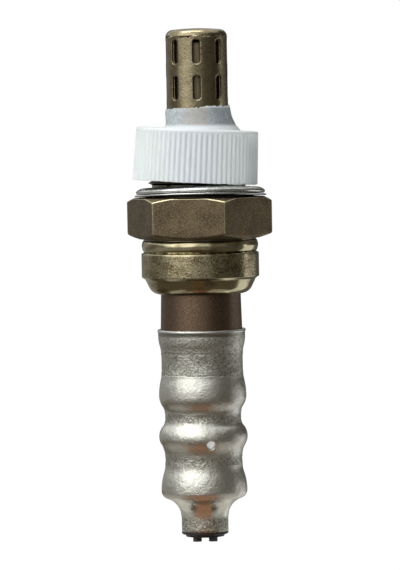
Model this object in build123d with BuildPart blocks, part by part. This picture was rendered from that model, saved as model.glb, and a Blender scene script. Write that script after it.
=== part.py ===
from build123d import *
from math import atan2, cos, degrees, radians, sin, sqrt, tan
import os

# Four-wire exhaust oxygen sensor: a heated zirconia thimble in a steel body, with a transit cap.
# The origin is on the axis, at the face of the hexagon that seats on the exhaust.
# +Z runs to the sensing tip, and -Y looks out of one flat of the hexagon.

# Side that the punched and pressed details face, turned from the hexagon's flat
front_turn = 9.5

# Clearances
slip_gap = 0.05
press_gap = 0.03

# Hexagon and thread
across_flats = 21.8
hex_height = 7.0
hex_corner_radius = 0.3
hex_top_land_over_flats = 0.4
hex_top_slope = 25.0
hex_under_land_inside_flats = 1.2
hex_under_slope = 18.0
thread_diameter = 18.0
thread_length = 10.2
thread_end_chamfer = 0.8
relief_diameter = 16.0
relief_width = 2.2
relief_lead = 0.45

# Turned body under the hexagon
neck_diameter = 19.2
neck_height = 0.3
bead_diameter = 19.9
bead_height = 1.85
bead_crown = 0.25
groove_depth = 0.4
groove_width = 0.35
band_diameter = 20.08
band_height = 4.05
band_corner = 0.3
rolled_lip_diameter = 18.9
rolled_lip_taper = 1.35
rolled_lip_inset = 0.65
rolled_lip_step = 0.4
rolled_lip_end = 1.2

# Chambers inside the body
chamber_diameter = 12.6
seat_ledge_height = 1.5
nose_bore_diameter = 9.2
lip_thickness = 0.9
flange_pocket_diameter = 15.9
flange_pocket_height = 1.3

# Slotted protection tubes
outer_tube_diameter = 10.5
outer_tube_wall = 0.4
outer_tube_corner = 1.25
tip_height = 28.75
inner_tube_diameter = 8.5
inner_tube_wall = 0.3
inner_tube_corner = 0.9
tip_spacing = 1.8
crown_turn = 6.0
slots_per_row = 8
slot_length = 4.2
slot_width = 1.2
top_slot_drop = 4.0
slot_row_pitch = 6.1
inlet_count = 8
inlet_diameter = 1.4
inlet_height = 12.7
end_vent_diameter = 2.0

# Zirconia thimble, heater and packing
thimble_tip_drop = 3.2
thimble_tip_diameter = 5.2
thimble_root_diameter = 6.6
thimble_bore_diameter = 3.5
thimble_end_wall = 1.2
thimble_flange_height = 3.0
packing_width = 2.1
thimble_rear_length = 15.6
heater_diameter = 3.0
heater_tip_gap = 1.8
heater_length = 48.0
washer_thickness = 0.4
talc_height = 6.0
insulator_height = 6.2
crimp_ring_height = 0.7
crimp_ring_gap = 0.7

# Inner sleeve
sleeve_wall = 0.4
sleeve_top_diameter = 13.64
sleeve_barrel_diameter = 13.96
sleeve_exposed_length = 6.05
sleeve_overlap = 0.4
sleeve_neck_in = 2.6
sleeve_waist_diameter = 10.7
sleeve_cone_height = 2.0
sleeve_cone_drop = 1.0
vent_diameter = 1.6

# Outer sleeve: diameters and the heights between them, from the rim down
outer_sleeve_wall = 0.42
rim_diameter = 15.04
rim_land_diameter = 14.88
rim_land_height = 1.15
crimp_diameters = (13.92, 13.0, 13.16)
crimp_heights = (2.7, 1.1, 0.7)
bulge_diameters = (14.96, 15.16, 14.72)
falls_to_crimps = (3.4, 3.1, 3.6)
rises_to_bulges = (4.1, 2.8, 5.0)
convex_shares_of_falls = (0.5, 0.6, 0.4)
concave_shares_of_rises = (0.3, 0.35, 0.4)
shoulder_radius = 1.4
shoulder_turn = 72.0
neck_crimp_diameter = 8.0
neck_crimp_height = 2.35

# Marks of the eight crimping jaws
jaw_count = 8
jaw_curve = 1.5
jaw_ridge = 0.2
jaw_flare_slope = 32.0
jaw_flare_reach = 1.2

# Breather and its filter
breather_count = 4
breather_diameter = 1.6
breather_drop = 1.1
breather_turn = 10.0
filter_overhang = 0.3

# Leads, terminals and their ceramic separator
lead_pitch = 2.7
insulation_diameter = 1.5
strand_diameter = 0.86
lead_stub_length = 0.8
insulation_entry = 1.6
strip_thickness = 0.2
strip_width = 1.0
barrel_diameter = 1.6
barrel_length = 4.0
barrel_plug = 0.6
barrel_drop = 4.0
terminal_bore_diameter = 2.0
contact_length = 7.3
contact_overhang = 0.8
contact_wall = 0.17
contact_slit = 0.6
ground_ring_height = 2.3
ground_ring_wall = 0.2
ground_strip_drop = 4.0
heater_pad_length = 6.5
separator_head_height = 1.7
separator_head_gap = 0.35
retainer_height = 1.4
retainer_slit = 1.2

# Grommet
grommet_above_bulge = 1.5
grommet_lead_in = 0.3
grommet_lip_height = 0.5
grommet_edge = 0.15
grommet_step = 0.7
grommet_stub = 0.9

# Crush gasket, folded from one strip
gasket_sheet = 0.28
gasket_inner_diameter = 17.9
gasket_inner_fold_diameter = 18.3
gasket_flat_diameter = 19.24
gasket_bend_radius = 1.8
gasket_bend_turn = 42.0
gasket_lip_diameter = 22.5
gasket_fold_height = 0.4
gasket_height = 1.5
gasket_shift = 0.25
gasket_tilt = 1.7

# Transit cap
cap_tilt = 3.4
cap_shift = -0.15
cap_skirt_height = 9.05
cap_shelf = 0.9
cap_top_diameter = 20.86
cap_mouth_diameter = 21.34
cap_bore_top_diameter = 18.9
cap_bore_mouth_diameter = 19.56
cap_round = 0.45
rib_count = 72
rib_depth = 0.25
rib_top_drop = 0.6
rib_turn = 0.8
collar_wall = 0.16
collar_foot_diameter = 13.16
collar_foot_shift = 0.82
collar_heights = (0.7, 1.9, 3.0, 3.85)
collar_shifts = (0.55, 0.17, 0.08, 0.0)
collar_slopes = (1.7, 0.0, 0.0, -2.6)
collar_slacks = (0.75, 0.38, 0.2, 0.02)

# Levels along the axis, from the tip to the leads
facing = front_turn - 90
thread_radius = thread_diameter / 2
flange_seat = thread_length - lip_thickness - inner_tube_wall - outer_tube_wall
flange_top = thread_length - lip_thickness
inner_tip = tip_height - tip_spacing
thimble_front = seat_ledge_height - washer_thickness
thimble_back = thimble_front - thimble_flange_height
talc_back = thimble_back - talc_height
insulator_back = talc_back - insulator_height
crimp_ring_back = insulator_back - crimp_ring_height
flange_back = crimp_ring_back - sleeve_wall
bead_top = -hex_height - neck_height
bead_bottom = bead_top - bead_height
band_top = bead_bottom - groove_width
band_bottom = band_top - band_height
lip_top = band_bottom - rolled_lip_step
lip_taper_bottom = lip_top - rolled_lip_taper
shell_end = lip_taper_bottom - rolled_lip_end
rim_level = shell_end - sleeve_exposed_length
crimp_tops = []
crimp_bottoms = []
bulge_levels = []
level = rim_level - rim_land_height
for fall, height, rise in zip(falls_to_crimps, crimp_heights, rises_to_bulges):
    crimp_tops.append(level - fall)
    crimp_bottoms.append(crimp_tops[-1] - height)
    bulge_levels.append(crimp_bottoms[-1] - rise)
    level = bulge_levels[-1]
shoulder_fall = shoulder_radius * (1 - cos(radians(shoulder_turn)))
throat_in = (bulge_diameters[-1] - neck_crimp_diameter) / 2 - shoulder_fall
throat_radius = throat_in / (1 - cos(radians(shoulder_turn)))
neck_top = bulge_levels[-1] - (shoulder_radius + throat_radius) * sin(radians(shoulder_turn))
neck_bottom = neck_top - neck_crimp_height
grommet_top = bulge_levels[-1] + grommet_above_bulge
grommet_end = neck_bottom - grommet_stub
lead_end = grommet_end - lead_stub_length
breather_level = bulge_levels[1] - breather_drop
lead_circle = lead_pitch / sqrt(2)
heater_radius = heater_diameter / 2
thimble_tip = inner_tip - thimble_tip_drop
heater_tip = thimble_tip - heater_tip_gap
heater_end = heater_tip - heater_length


def axial_plane(angle):
    """Plane through the axis: local x runs outwards at this angle, and local y runs up."""
    turn = radians(angle)
    return Plane((0, 0, 0), x_dir=(cos(turn), sin(turn), 0), z_dir=(sin(turn), -cos(turn), 0))


def outward_plane(angle, height):
    """Plane that faces outwards from the axis at this angle and height, with local y up."""
    turn = radians(angle)
    return Plane((0, 0, height), x_dir=(-sin(turn), cos(turn), 0), z_dir=(cos(turn), sin(turn), 0))


def around(count, height, start=facing):
    """Outward planes at even steps round the axis."""
    return [outward_plane(start + 360 / count * step, height) for step in range(count)]


def turn_outline(*corners, mode=Mode.ADD):
    """Turn a closed half section, given by its (radius, height) corners, about the axis."""
    with BuildSketch(Plane.XZ) as half_section:
        with BuildLine():
            Polyline(*corners, close=True)
        make_face()
    revolve(half_section.sketch, axis=Axis.Z, mode=mode)


def turn_ring(outer_radius, inner_radius, top, bottom):
    """Turn a plain ring."""
    turn_outline(
        (inner_radius, top), (outer_radius, top), (outer_radius, bottom), (inner_radius, bottom)
    )


# Protection tubes


def closed_end(foot, tip, corner):
    """Draw a tube's side from its foot, its rounded corner and its crowned end, to the axis."""
    radius = foot.X
    corner_turn = 90 - crown_turn
    crown_reach = radius - corner * (1 - cos(radians(corner_turn)))
    crown_radius = crown_reach / sin(radians(crown_turn))
    crown_rise = crown_radius * (1 - cos(radians(crown_turn)))
    side_top = tip - crown_rise - corner * sin(radians(corner_turn))
    side = Line(foot, (radius, side_top))
    bend = JernArc(side @ 1, side % 1, corner, corner_turn)
    return JernArc(bend @ 1, bend % 1, crown_radius, crown_turn)


def draw_tube(diameter, wall, base, tip, corner):
    """Make a deep-drawn tube with a flange at its base and a closed, crowned end."""
    radius = diameter / 2
    flange_radius = chamber_diameter / 2 - slip_gap
    with BuildSketch(Plane.XZ) as outside:
        with BuildLine():
            foot = Polyline(
                (0, base), (flange_radius, base), (flange_radius, base + wall), (radius, base + wall)
            )
            end = closed_end(foot @ 1, tip, corner)
            Line(end @ 1, foot @ 0)
        make_face()
    revolve(outside.sketch, axis=Axis.Z)
    with BuildSketch(Plane.XZ) as inside:
        with BuildLine():
            floor = Line((0, base), (radius - wall, base))
            end = closed_end(floor @ 1, tip - wall, corner - wall)
            Line(end @ 1, floor @ 0)
        make_face()
    revolve(inside.sketch, axis=Axis.Z, mode=Mode.SUBTRACT)


top_slot_level = tip_height - top_slot_drop
slot_levels = (top_slot_level, top_slot_level - slot_row_pitch)

with BuildPart() as outer_protector:
    draw_tube(
        outer_tube_diameter, outer_tube_wall, flange_seat + inner_tube_wall, tip_height, outer_tube_corner
    )
    with BuildSketch(*around(slots_per_row, slot_levels[0]), *around(slots_per_row, slot_levels[1])):
        SlotOverall(slot_length, slot_width, rotation=90)
    extrude(amount=outer_tube_diameter, mode=Mode.SUBTRACT)

with BuildPart() as inner_protector:
    draw_tube(inner_tube_diameter, inner_tube_wall, flange_seat, inner_tip, inner_tube_corner)
    with BuildSketch(*around(inlet_count, inlet_height)):
        Circle(inlet_diameter / 2)
    extrude(amount=inner_tube_diameter, mode=Mode.SUBTRACT)
    with BuildSketch(Plane.XY.offset(inner_tip)):
        Circle(end_vent_diameter / 2)
    extrude(amount=-2 * inner_tube_corner, mode=Mode.SUBTRACT)


# Steel body: hexagon first, then everything turned above, below and inside it

hex_point_radius = across_flats / 2 / cos(radians(30))
top_land_radius = (across_flats + hex_top_land_over_flats) / 2
under_land_radius = (across_flats - hex_under_land_inside_flats) / 2
top_bevel = (hex_point_radius - top_land_radius) * tan(radians(hex_top_slope))
under_bevel = (hex_point_radius - under_land_radius) * tan(radians(hex_under_slope))
sleeve_flange_radius = flange_pocket_diameter / 2 - slip_gap
lip_bore_radius = sleeve_top_diameter / 2 + slip_gap
bead_edge = bead_diameter / 2 - bead_crown

with BuildPart() as hex_shell:
    with BuildSketch(Plane.XY.offset(-hex_height)):
        RegularPolygon(across_flats / 2, 6, major_radius=False)
    extrude(amount=hex_height)
    fillet(hex_shell.edges().filter_by(Axis.Z), hex_corner_radius)
    turn_outline(
        (0, 0),
        (top_land_radius, 0),
        (hex_point_radius, -top_bevel),
        (hex_point_radius, under_bevel - hex_height),
        (under_land_radius, -hex_height),
        (0, -hex_height),
        mode=Mode.INTERSECT,
    )
    turn_outline(
        (0, thread_length),
        (thread_radius - thread_end_chamfer, thread_length),
        (thread_radius, thread_length - thread_end_chamfer),
        (thread_radius, relief_width + relief_lead),
        (relief_diameter / 2, relief_width),
        (relief_diameter / 2, 0),
        (0, 0),
    )
    with BuildSketch(Plane.XZ):
        with BuildLine():
            neck = Polyline(
                (0, -hex_height),
                (neck_diameter / 2, -hex_height),
                (neck_diameter / 2, bead_top),
                (bead_edge, bead_top),
            )
            bead = ThreePointArc(
                neck @ 1, (bead_edge + bead_crown, (bead_top + bead_bottom) / 2), (bead_edge, bead_bottom)
            )
            band = Polyline(
                bead @ 1,
                (bead_edge + bead_crown - groove_depth, bead_bottom - groove_width / 2),
                (band_diameter / 2 - band_corner, band_top),
                (band_diameter / 2, band_top - band_corner),
                (band_diameter / 2, band_bottom),
                (rolled_lip_diameter / 2, lip_top),
                (rolled_lip_diameter / 2 - rolled_lip_inset, lip_taper_bottom),
            )
            roll = TangentArc(band @ 1, (lip_bore_radius, shell_end), tangent=band % 1)
            Polyline(roll @ 1, (0, shell_end), neck @ 0)
        make_face()
    revolve(axis=Axis.Z)
    turn_outline(
        (0, thread_length),
        (outer_tube_diameter / 2 + slip_gap, thread_length),
        (outer_tube_diameter / 2 + slip_gap, flange_top),
        (chamber_diameter / 2, flange_top),
        (chamber_diameter / 2, flange_seat),
        (nose_bore_diameter / 2, flange_seat),
        (nose_bore_diameter / 2, seat_ledge_height),
        (chamber_diameter / 2, seat_ledge_height),
        (chamber_diameter / 2, flange_back + flange_pocket_height),
        (flange_pocket_diameter / 2, flange_back + flange_pocket_height),
        (flange_pocket_diameter / 2, flange_back),
        (lip_bore_radius, flange_back),
        (lip_bore_radius, shell_end),
        (0, shell_end),
        mode=Mode.SUBTRACT,
    )


# Crush gasket: an S of folded strip, lying off centre in the thread relief with its front raised

gasket_top_line = gasket_height - gasket_sheet / 2
gasket_low_line = gasket_sheet / 2
gasket_mid_line = gasket_low_line + gasket_fold_height
bend_turn = radians(gasket_bend_turn)
bend_end = gasket_top_line - gasket_bend_radius * (1 - cos(bend_turn))
outer_fold_radius = (bend_end - gasket_mid_line) / (1 + cos(bend_turn))
side_x = cos(radians(front_turn))
side_y = sin(radians(front_turn))
raised = radians(gasket_tilt)
gasket_up = Vector(-side_y * sin(raised), side_x * sin(raised), cos(raised))
gasket_side = Vector(side_x, side_y, 0)
gasket_centre = Vector(side_x * gasket_shift, side_y * gasket_shift, gasket_lip_diameter / 2 * sin(raised))

with BuildPart() as gasket:
    with BuildSketch(Plane(gasket_centre, x_dir=gasket_side, z_dir=gasket_side.cross(gasket_up))):
        with BuildLine():
            top_ply = Line(
                (gasket_inner_diameter / 2, gasket_top_line), (gasket_flat_diameter / 2, gasket_top_line)
            )
            top_bend = JernArc(top_ply @ 1, (1, 0), gasket_bend_radius, -gasket_bend_turn)
            outer_fold = JernArc(top_bend @ 1, top_bend % 1, outer_fold_radius, gasket_bend_turn - 180)
            middle_ply = Line(outer_fold @ 1, (gasket_inner_fold_diameter / 2, gasket_mid_line))
            inner_fold = JernArc(middle_ply @ 1, (-1, 0), gasket_fold_height / 2, 180)
            Line(inner_fold @ 1, (gasket_lip_diameter / 2, gasket_low_line))
        trace(line_width=gasket_sheet)
    revolve(axis=Axis(gasket_centre, gasket_up))


# Transit cap, tipped to one side until its shelf rests on the rim of the thread's end

lean = radians(cap_tilt)
cap_up = Vector(side_x * sin(lean), side_y * sin(lean), cos(lean))
cap_side = Vector(side_x * cos(lean), side_y * cos(lean), -sin(lean))
shelf_level = thread_length + (thread_radius - thread_end_chamfer) * tan(lean) + press_gap
shelf_centre = Vector(side_x * cap_shift, side_y * cap_shift, shelf_level)
cap_top = Plane(shelf_centre + cap_up * cap_shelf, x_dir=cap_side, z_dir=cap_up)
cap_axis = Axis(shelf_centre, cap_up)
cap_section = Plane(cap_top.origin, x_dir=cap_side, z_dir=cap_side.cross(cap_up))


def ribbed_ring(plane, radius):
    """Draw the ribbed outline of the skirt: a crest and a furrow for each rib."""
    with BuildSketch(plane) as ring:
        with BuildLine():
            points = []
            for step in range(2 * rib_count):
                turn = radians(180 / rib_count * step + rib_turn)
                reach = radius - rib_depth * (step % 2 == 0)
                points.append((reach * cos(turn), reach * sin(turn)))
            Polyline(*points, close=True)
        make_face()
    return ring.sketch.face()


def collar_plane(height, shift, slope):
    """Plane across the collar at a height over the cap's top, shifted and sloped to the side."""
    tip = radians(slope)
    return Plane(
        (side_x * shift, side_y * shift, cap_top.origin.Z + height),
        x_dir=(side_x * cos(tip), side_y * cos(tip), -sin(tip)),
        z_dir=(side_x * sin(tip), side_y * sin(tip), cos(tip)),
    )


tube_grip = outer_tube_diameter / 2 + press_gap + collar_wall
collar_foot = Plane(
    cap_top.origin + cap_side * (collar_foot_shift - cap_shift), x_dir=cap_side, z_dir=cap_up
)
collar_rings = [(collar_foot, collar_foot_diameter / 2)]
for height, shift, slope, slack in zip(collar_heights, collar_shifts, collar_slopes, collar_slacks):
    collar_rings.append((collar_plane(height, shift, slope), tube_grip + slack))


def collar_form(inset):
    """Sections of the collar from its foot to its torn top edge, moved in by inset."""
    sections = []
    for plane, radius in collar_rings:
        with BuildSketch(plane) as ring:
            Circle(radius - inset)
        sections.append(ring.sketch.face())
    return sections

with BuildPart() as thread_cap:
    skirt_top = ribbed_ring(cap_top.offset(-rib_top_drop), cap_top_diameter / 2)
    skirt_mouth = ribbed_ring(cap_top.offset(-cap_skirt_height), cap_mouth_diameter / 2)
    loft([skirt_top, skirt_mouth], ruled=True)
    with BuildSketch(cap_section):
        with BuildLine():
            crown = Line((0, 0), (cap_top_diameter / 2 - cap_round, 0))
            edge = JernArc(crown @ 1, (1, 0), cap_round, -90)
            Polyline(
                edge @ 1,
                (cap_top_diameter / 2 - rib_depth, -rib_top_drop - rib_depth),
                (0, -rib_top_drop),
                (0, 0),
            )
        make_face()
    revolve(axis=cap_axis)
    with BuildSketch(cap_section):
        with BuildLine():
            Polyline(
                (0, -cap_shelf),
                (cap_bore_top_diameter / 2, -cap_shelf),
                (cap_bore_mouth_diameter / 2, -cap_skirt_height),
                (0, -cap_skirt_height),
                close=True,
            )
        make_face()
    revolve(axis=cap_axis, mode=Mode.SUBTRACT)
    outside = collar_form(0)
    loft(outside)
    extrude(outside[0], amount=-cap_shelf / 2)
    inside = collar_form(collar_wall)
    loft(inside, mode=Mode.SUBTRACT)
    extrude(inside[0], amount=-2 * cap_shelf, mode=Mode.SUBTRACT)


# Sensing element, heater and packing

tip_radius = thimble_tip_diameter / 2
root_radius = thimble_root_diameter / 2
thimble_bore = thimble_bore_diameter / 2
rear_radius = chamber_diameter / 2 - packing_width
thimble_end = thimble_back - thimble_rear_length
chamber_radius = chamber_diameter / 2 - slip_gap

with BuildPart() as ceramic_element:
    with BuildSketch(Plane.XZ):
        with BuildLine():
            dome = JernArc((tip_radius, thimble_tip - tip_radius), (0, 1), tip_radius, 90)
            bore_dome = JernArc(
                (thimble_bore, thimble_tip - thimble_end_wall - thimble_bore), (0, 1), thimble_bore, 90
            )
            Line(dome @ 1, bore_dome @ 1)
            Polyline(
                dome @ 0,
                (root_radius, thimble_front),
                (chamber_radius, thimble_front),
                (chamber_radius, thimble_back),
                (rear_radius, thimble_back),
                (rear_radius, thimble_end),
                (thimble_bore, thimble_end),
                bore_dome @ 0,
            )
        make_face()
    revolve(axis=Axis.Z)

with BuildPart() as heater_rod:
    with BuildSketch(Plane.XY.offset(heater_end)):
        Circle(heater_radius)
    extrude(amount=heater_length)
    chamfer(heater_rod.edges().sort_by(Axis.Z)[-1], heater_radius / 4)

with BuildPart() as seat_washer:
    turn_ring(chamber_radius, root_radius + slip_gap, seat_ledge_height, thimble_front)

with BuildPart() as talc_seal:
    turn_ring(chamber_radius, rear_radius + slip_gap, thimble_back, talc_back)

with BuildPart() as insulator_sleeve:
    turn_ring(chamber_radius, rear_radius + slip_gap, talc_back, insulator_back)

with BuildPart() as crimp_ring:
    turn_ring(sleeve_flange_radius, rear_radius + crimp_ring_gap, insulator_back, crimp_ring_back)


# Inner sleeve, flanged under the rolled lip and waisted inside the filter

crimped_radius = crimp_diameters[0] / 2 - outer_sleeve_wall - press_gap
waist_radius = sleeve_waist_diameter / 2
barrel_end = rim_level - sleeve_overlap
cone_top = crimp_bottoms[0] - sleeve_cone_drop
cone_bottom = cone_top - sleeve_cone_height

with BuildPart() as inner_sleeve:
    turn_outline(
        (sleeve_flange_radius, crimp_ring_back),
        (sleeve_flange_radius, flange_back),
        (sleeve_top_diameter / 2, flange_back),
        (sleeve_top_diameter / 2, shell_end),
        (sleeve_barrel_diameter / 2, rim_level),
        (sleeve_barrel_diameter / 2, barrel_end),
        (crimped_radius, barrel_end - sleeve_neck_in),
        (crimped_radius, cone_top),
        (waist_radius, cone_bottom),
        (waist_radius, grommet_top),
        (waist_radius - sleeve_wall, grommet_top),
        (waist_radius - sleeve_wall, cone_bottom),
        (crimped_radius - sleeve_wall, cone_top),
        (crimped_radius - sleeve_wall, barrel_end - sleeve_neck_in),
        (sleeve_barrel_diameter / 2 - sleeve_wall, barrel_end),
        (sleeve_barrel_diameter / 2 - sleeve_wall, rim_level),
        (sleeve_top_diameter / 2 - sleeve_wall, shell_end),
        (sleeve_top_diameter / 2 - sleeve_wall, crimp_ring_back),
    )
    with BuildSketch(*around(breather_count, breather_level, facing + breather_turn)):
        Circle(vent_diameter / 2)
    extrude(amount=sleeve_flange_radius, mode=Mode.SUBTRACT)


# Outer sleeve: three crimps and a neck, each pressed by eight jaws, with round bulges between them


def s_bend(start, diameter, height, first_share, inset):
    """Draw two arcs that leave start straight down and end straight down at a new diameter."""
    radius = diameter / 2 - inset
    shift = radius - start.X
    drop = start.Y - height
    turn = 2 * atan2(abs(shift), drop)
    both_radii = drop / sin(turn)
    outwards = 1 if shift > 0 else -1
    first = both_radii * first_share + inset * outwards
    second = both_radii * (1 - first_share) - inset * outwards
    bend = JernArc(start, (0, -1), first, degrees(turn) * outwards)
    return JernArc(bend @ 1, bend % 1, second, -degrees(turn) * outwards)


def sleeve_wall_line(inset, crimp_proud):
    """Draw the sleeve's wall from its rim to the foot of its neck, moved inwards by inset."""
    rim = Line(
        (rim_diameter / 2 - inset, rim_level), (rim_land_diameter / 2 - inset, rim_level - rim_land_height)
    )
    last = rim
    for index in range(len(crimp_diameters)):
        crimp = crimp_diameters[index] + 2 * crimp_proud
        fall = s_bend(last @ 1, crimp, crimp_tops[index], convex_shares_of_falls[index], inset)
        flat = Line(fall @ 1, (crimp / 2 - inset, crimp_bottoms[index]))
        last = s_bend(
            flat @ 1, bulge_diameters[index], bulge_levels[index], concave_shares_of_rises[index], inset
        )
    return rim, neck_line(last @ 1, inset, crimp_proud)


def neck_line(start, inset, crimp_proud):
    """Draw the round shoulder and the throat, down to the foot of the neck."""
    shoulder = JernArc(start, (0, -1), shoulder_radius - inset, -shoulder_turn)
    slope = (bulge_diameters[-1] - neck_crimp_diameter) / 2 - shoulder_fall - crimp_proud
    throat_turn = 1 - cos(radians(shoulder_turn))
    throat = JernArc(shoulder @ 1, shoulder % 1, slope / throat_turn + inset, shoulder_turn)
    return Line(throat @ 1, (neck_crimp_diameter / 2 + crimp_proud - inset, neck_bottom))


def sleeve_body(inset, crimp_proud, mode):
    """Turn the space inside the wall line, right through to the axis."""
    with BuildSketch(Plane.XZ) as half_section:
        with BuildLine():
            rim, neck_side = sleeve_wall_line(inset, crimp_proud)
            Polyline(neck_side @ 1, (0, neck_bottom), (0, rim_level), rim @ 0)
        make_face()
    revolve(half_section.sketch, axis=Axis.Z, mode=mode)


def jaw_form(radius, top, bottom):
    """Form that the closed jaws leave: each face is flatter than the sleeve and flares at its ends."""
    offset_in = radius * (jaw_curve - 1)
    flare = jaw_flare_reach * tan(radians(jaw_flare_slope))
    reach = radius + offset_in
    with BuildPart(mode=Mode.PRIVATE) as form:
        for step in range(jaw_count):
            angle = radians(facing + 360 / jaw_count * step)
            centre = (-offset_in * cos(angle), -offset_in * sin(angle), 0)
            with BuildSketch(Plane(centre, x_dir=(1, 0, 0), z_dir=(0, -1, 0))):
                with BuildLine():
                    Polyline(
                        (0, top + jaw_flare_reach),
                        (reach + flare, top + jaw_flare_reach),
                        (reach, top),
                        (reach, bottom),
                        (reach + flare, bottom - jaw_flare_reach),
                        (0, bottom - jaw_flare_reach),
                        close=True,
                    )
                make_face()
            mode = Mode.INTERSECT if step else Mode.ADD
            revolve(axis=Axis(centre, (0, 0, 1)), mode=mode)
    return form.part


def pressed_ring(radius, top, bottom):
    """Ring of metal that the jaws push in, to be taken off the turned form."""
    with BuildPart(mode=Mode.PRIVATE) as ring:
        turn_outline(
            (0, top + jaw_flare_reach),
            (2 * radius, top + jaw_flare_reach),
            (2 * radius, bottom - jaw_flare_reach),
            (0, bottom - jaw_flare_reach),
        )
        add(jaw_form(radius, top, bottom), mode=Mode.SUBTRACT)
    return ring.part


pressed_rings = []
for diameter, top, bottom in zip(crimp_diameters, crimp_tops, crimp_bottoms):
    pressed_rings.append(pressed_ring(diameter / 2, top, bottom))
neck_jaws = pressed_ring(neck_crimp_diameter / 2, neck_top, neck_bottom)

with BuildPart() as outer_sleeve:
    sleeve_body(0, jaw_ridge, Mode.ADD)
    for ring in pressed_rings:
        add(ring, mode=Mode.SUBTRACT)
    add(neck_jaws, mode=Mode.SUBTRACT)
    sleeve_body(outer_sleeve_wall, 0, Mode.SUBTRACT)
    with BuildSketch(*around(breather_count, breather_level, facing + breather_turn)):
        Circle(breather_diameter / 2)
    extrude(amount=rim_diameter, mode=Mode.SUBTRACT)

# Filter that fills the bulge between the second and third crimps

with BuildPart() as filter_tube:
    filter_inset = outer_sleeve_wall + press_gap
    filter_bore = waist_radius + press_gap
    with BuildSketch(Plane.XZ):
        with BuildLine():
            top_grip = Polyline(
                (filter_bore, crimp_tops[1] + filter_overhang),
                (crimp_diameters[1] / 2 - filter_inset, crimp_tops[1] + filter_overhang),
                (crimp_diameters[1] / 2 - filter_inset, crimp_bottoms[1]),
            )
            swell = s_bend(
                top_grip @ 1, bulge_diameters[1], bulge_levels[1], concave_shares_of_rises[1], filter_inset
            )
            fall = s_bend(
                swell @ 1, crimp_diameters[2], crimp_tops[2], convex_shares_of_falls[2], filter_inset
            )
            Polyline(
                fall @ 1,
                (crimp_diameters[2] / 2 - filter_inset, crimp_bottoms[2] - filter_overhang),
                (filter_bore, crimp_bottoms[2] - filter_overhang),
                top_grip @ 0,
            )
        make_face()
    revolve(axis=Axis.Z)


# Grommet that fills the neck, with a bore for each lead

lead_angles = [facing + 45 + 90 * step for step in range(4)]


def lead_places():
    """Centres of the four leads."""
    return PolarLocations(lead_circle, 4, start_angle=lead_angles[0])


with BuildPart() as grommet:
    grommet_inset = outer_sleeve_wall + slip_gap
    grommet_shoulder = bulge_diameters[-1] / 2 - grommet_inset
    lip_end = neck_bottom - grommet_lip_height
    with BuildSketch(Plane.XZ):
        with BuildLine():
            top_side = Polyline(
                (0, grommet_top),
                (grommet_shoulder - grommet_lead_in, grommet_top),
                (grommet_shoulder, bulge_levels[-1]),
            )
            neck_side = neck_line(top_side @ 1, grommet_inset, 0)
            Polyline(
                neck_side @ 1,
                (neck_side.position_at(1).X, neck_bottom - press_gap),
                (neck_crimp_diameter / 2, neck_bottom - press_gap),
                (neck_crimp_diameter / 2, lip_end + grommet_edge),
                (neck_crimp_diameter / 2 - grommet_edge, lip_end),
                (neck_crimp_diameter / 2 - grommet_step, lip_end),
                (neck_crimp_diameter / 2 - grommet_step, grommet_end),
                (0, grommet_end),
                top_side @ 0,
            )
        make_face()
    revolve(axis=Axis.Z)
    with BuildSketch(Plane.XY.offset(grommet_end)):
        with lead_places():
            Circle(insulation_diameter / 2 + press_gap)
    extrude(amount=grommet_top - grommet_end, mode=Mode.SUBTRACT)


# Ceramic separator, its head on the inner sleeve's cone, and the spring band round that head

separator_top = cone_top + separator_head_height
separator_body_radius = waist_radius - sleeve_wall - slip_gap
separator_head_radius = crimped_radius - sleeve_wall - separator_head_gap
head_slope = (crimped_radius - waist_radius) / sleeve_cone_height
head_corner = cone_top - (separator_head_gap - slip_gap) / head_slope

with BuildPart() as terminal_separator:
    turn_outline(
        (0, separator_top),
        (separator_head_radius, separator_top),
        (separator_head_radius, head_corner),
        (separator_body_radius, cone_bottom),
        (separator_body_radius, grommet_top),
        (0, grommet_top),
    )
    with BuildSketch(Plane.XY.offset(grommet_top)):
        with lead_places():
            Circle(terminal_bore_diameter / 2)
    extrude(amount=separator_top - grommet_top, mode=Mode.SUBTRACT)

with BuildPart() as separator_retainer:
    band_outer = crimped_radius - sleeve_wall - press_gap
    turn_ring(band_outer, separator_head_radius + press_gap, separator_top, separator_top - retainer_height)
    with BuildSketch(axial_plane(facing + 180)):
        with Locations((band_outer, separator_top)):
            Rectangle(band_outer, 3 * retainer_height)
    extrude(amount=retainer_slit / 2, both=True, mode=Mode.SUBTRACT)


# Leads and terminals

barrel_top = separator_top - barrel_drop
barrel_bottom = barrel_top - barrel_length
strip_line = heater_radius + press_gap + strip_thickness / 2
ground_ring_radius = rear_radius + press_gap
contact_radius = heater_radius + press_gap


def lead_round(angle, radius, height):
    """Circle round the place of one lead, at a height."""
    with BuildSketch(Plane.XY.offset(height)) as circle:
        with PolarLocations(lead_circle, 1, start_angle=angle):
            Circle(radius)
    return circle.sketch


def strip_and_barrel(angle, *route):
    """Make a flat strip along a (radius, height) route, with a barrel for the strands at its foot."""
    with BuildSketch(axial_plane(angle)) as strip:
        with BuildLine():
            Polyline(*route, (strip_line, barrel_top - barrel_plug / 2))
        trace(line_width=strip_thickness)
    extrude(strip.sketch, amount=strip_width / 2, both=True)
    barrel = lead_round(angle, barrel_diameter / 2, barrel_bottom)
    extrude(barrel, amount=barrel_length)
    strand_hole = lead_round(angle, strand_diameter / 2 + press_gap, barrel_bottom)
    extrude(strand_hole, amount=barrel_length - barrel_plug, mode=Mode.SUBTRACT)


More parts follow.
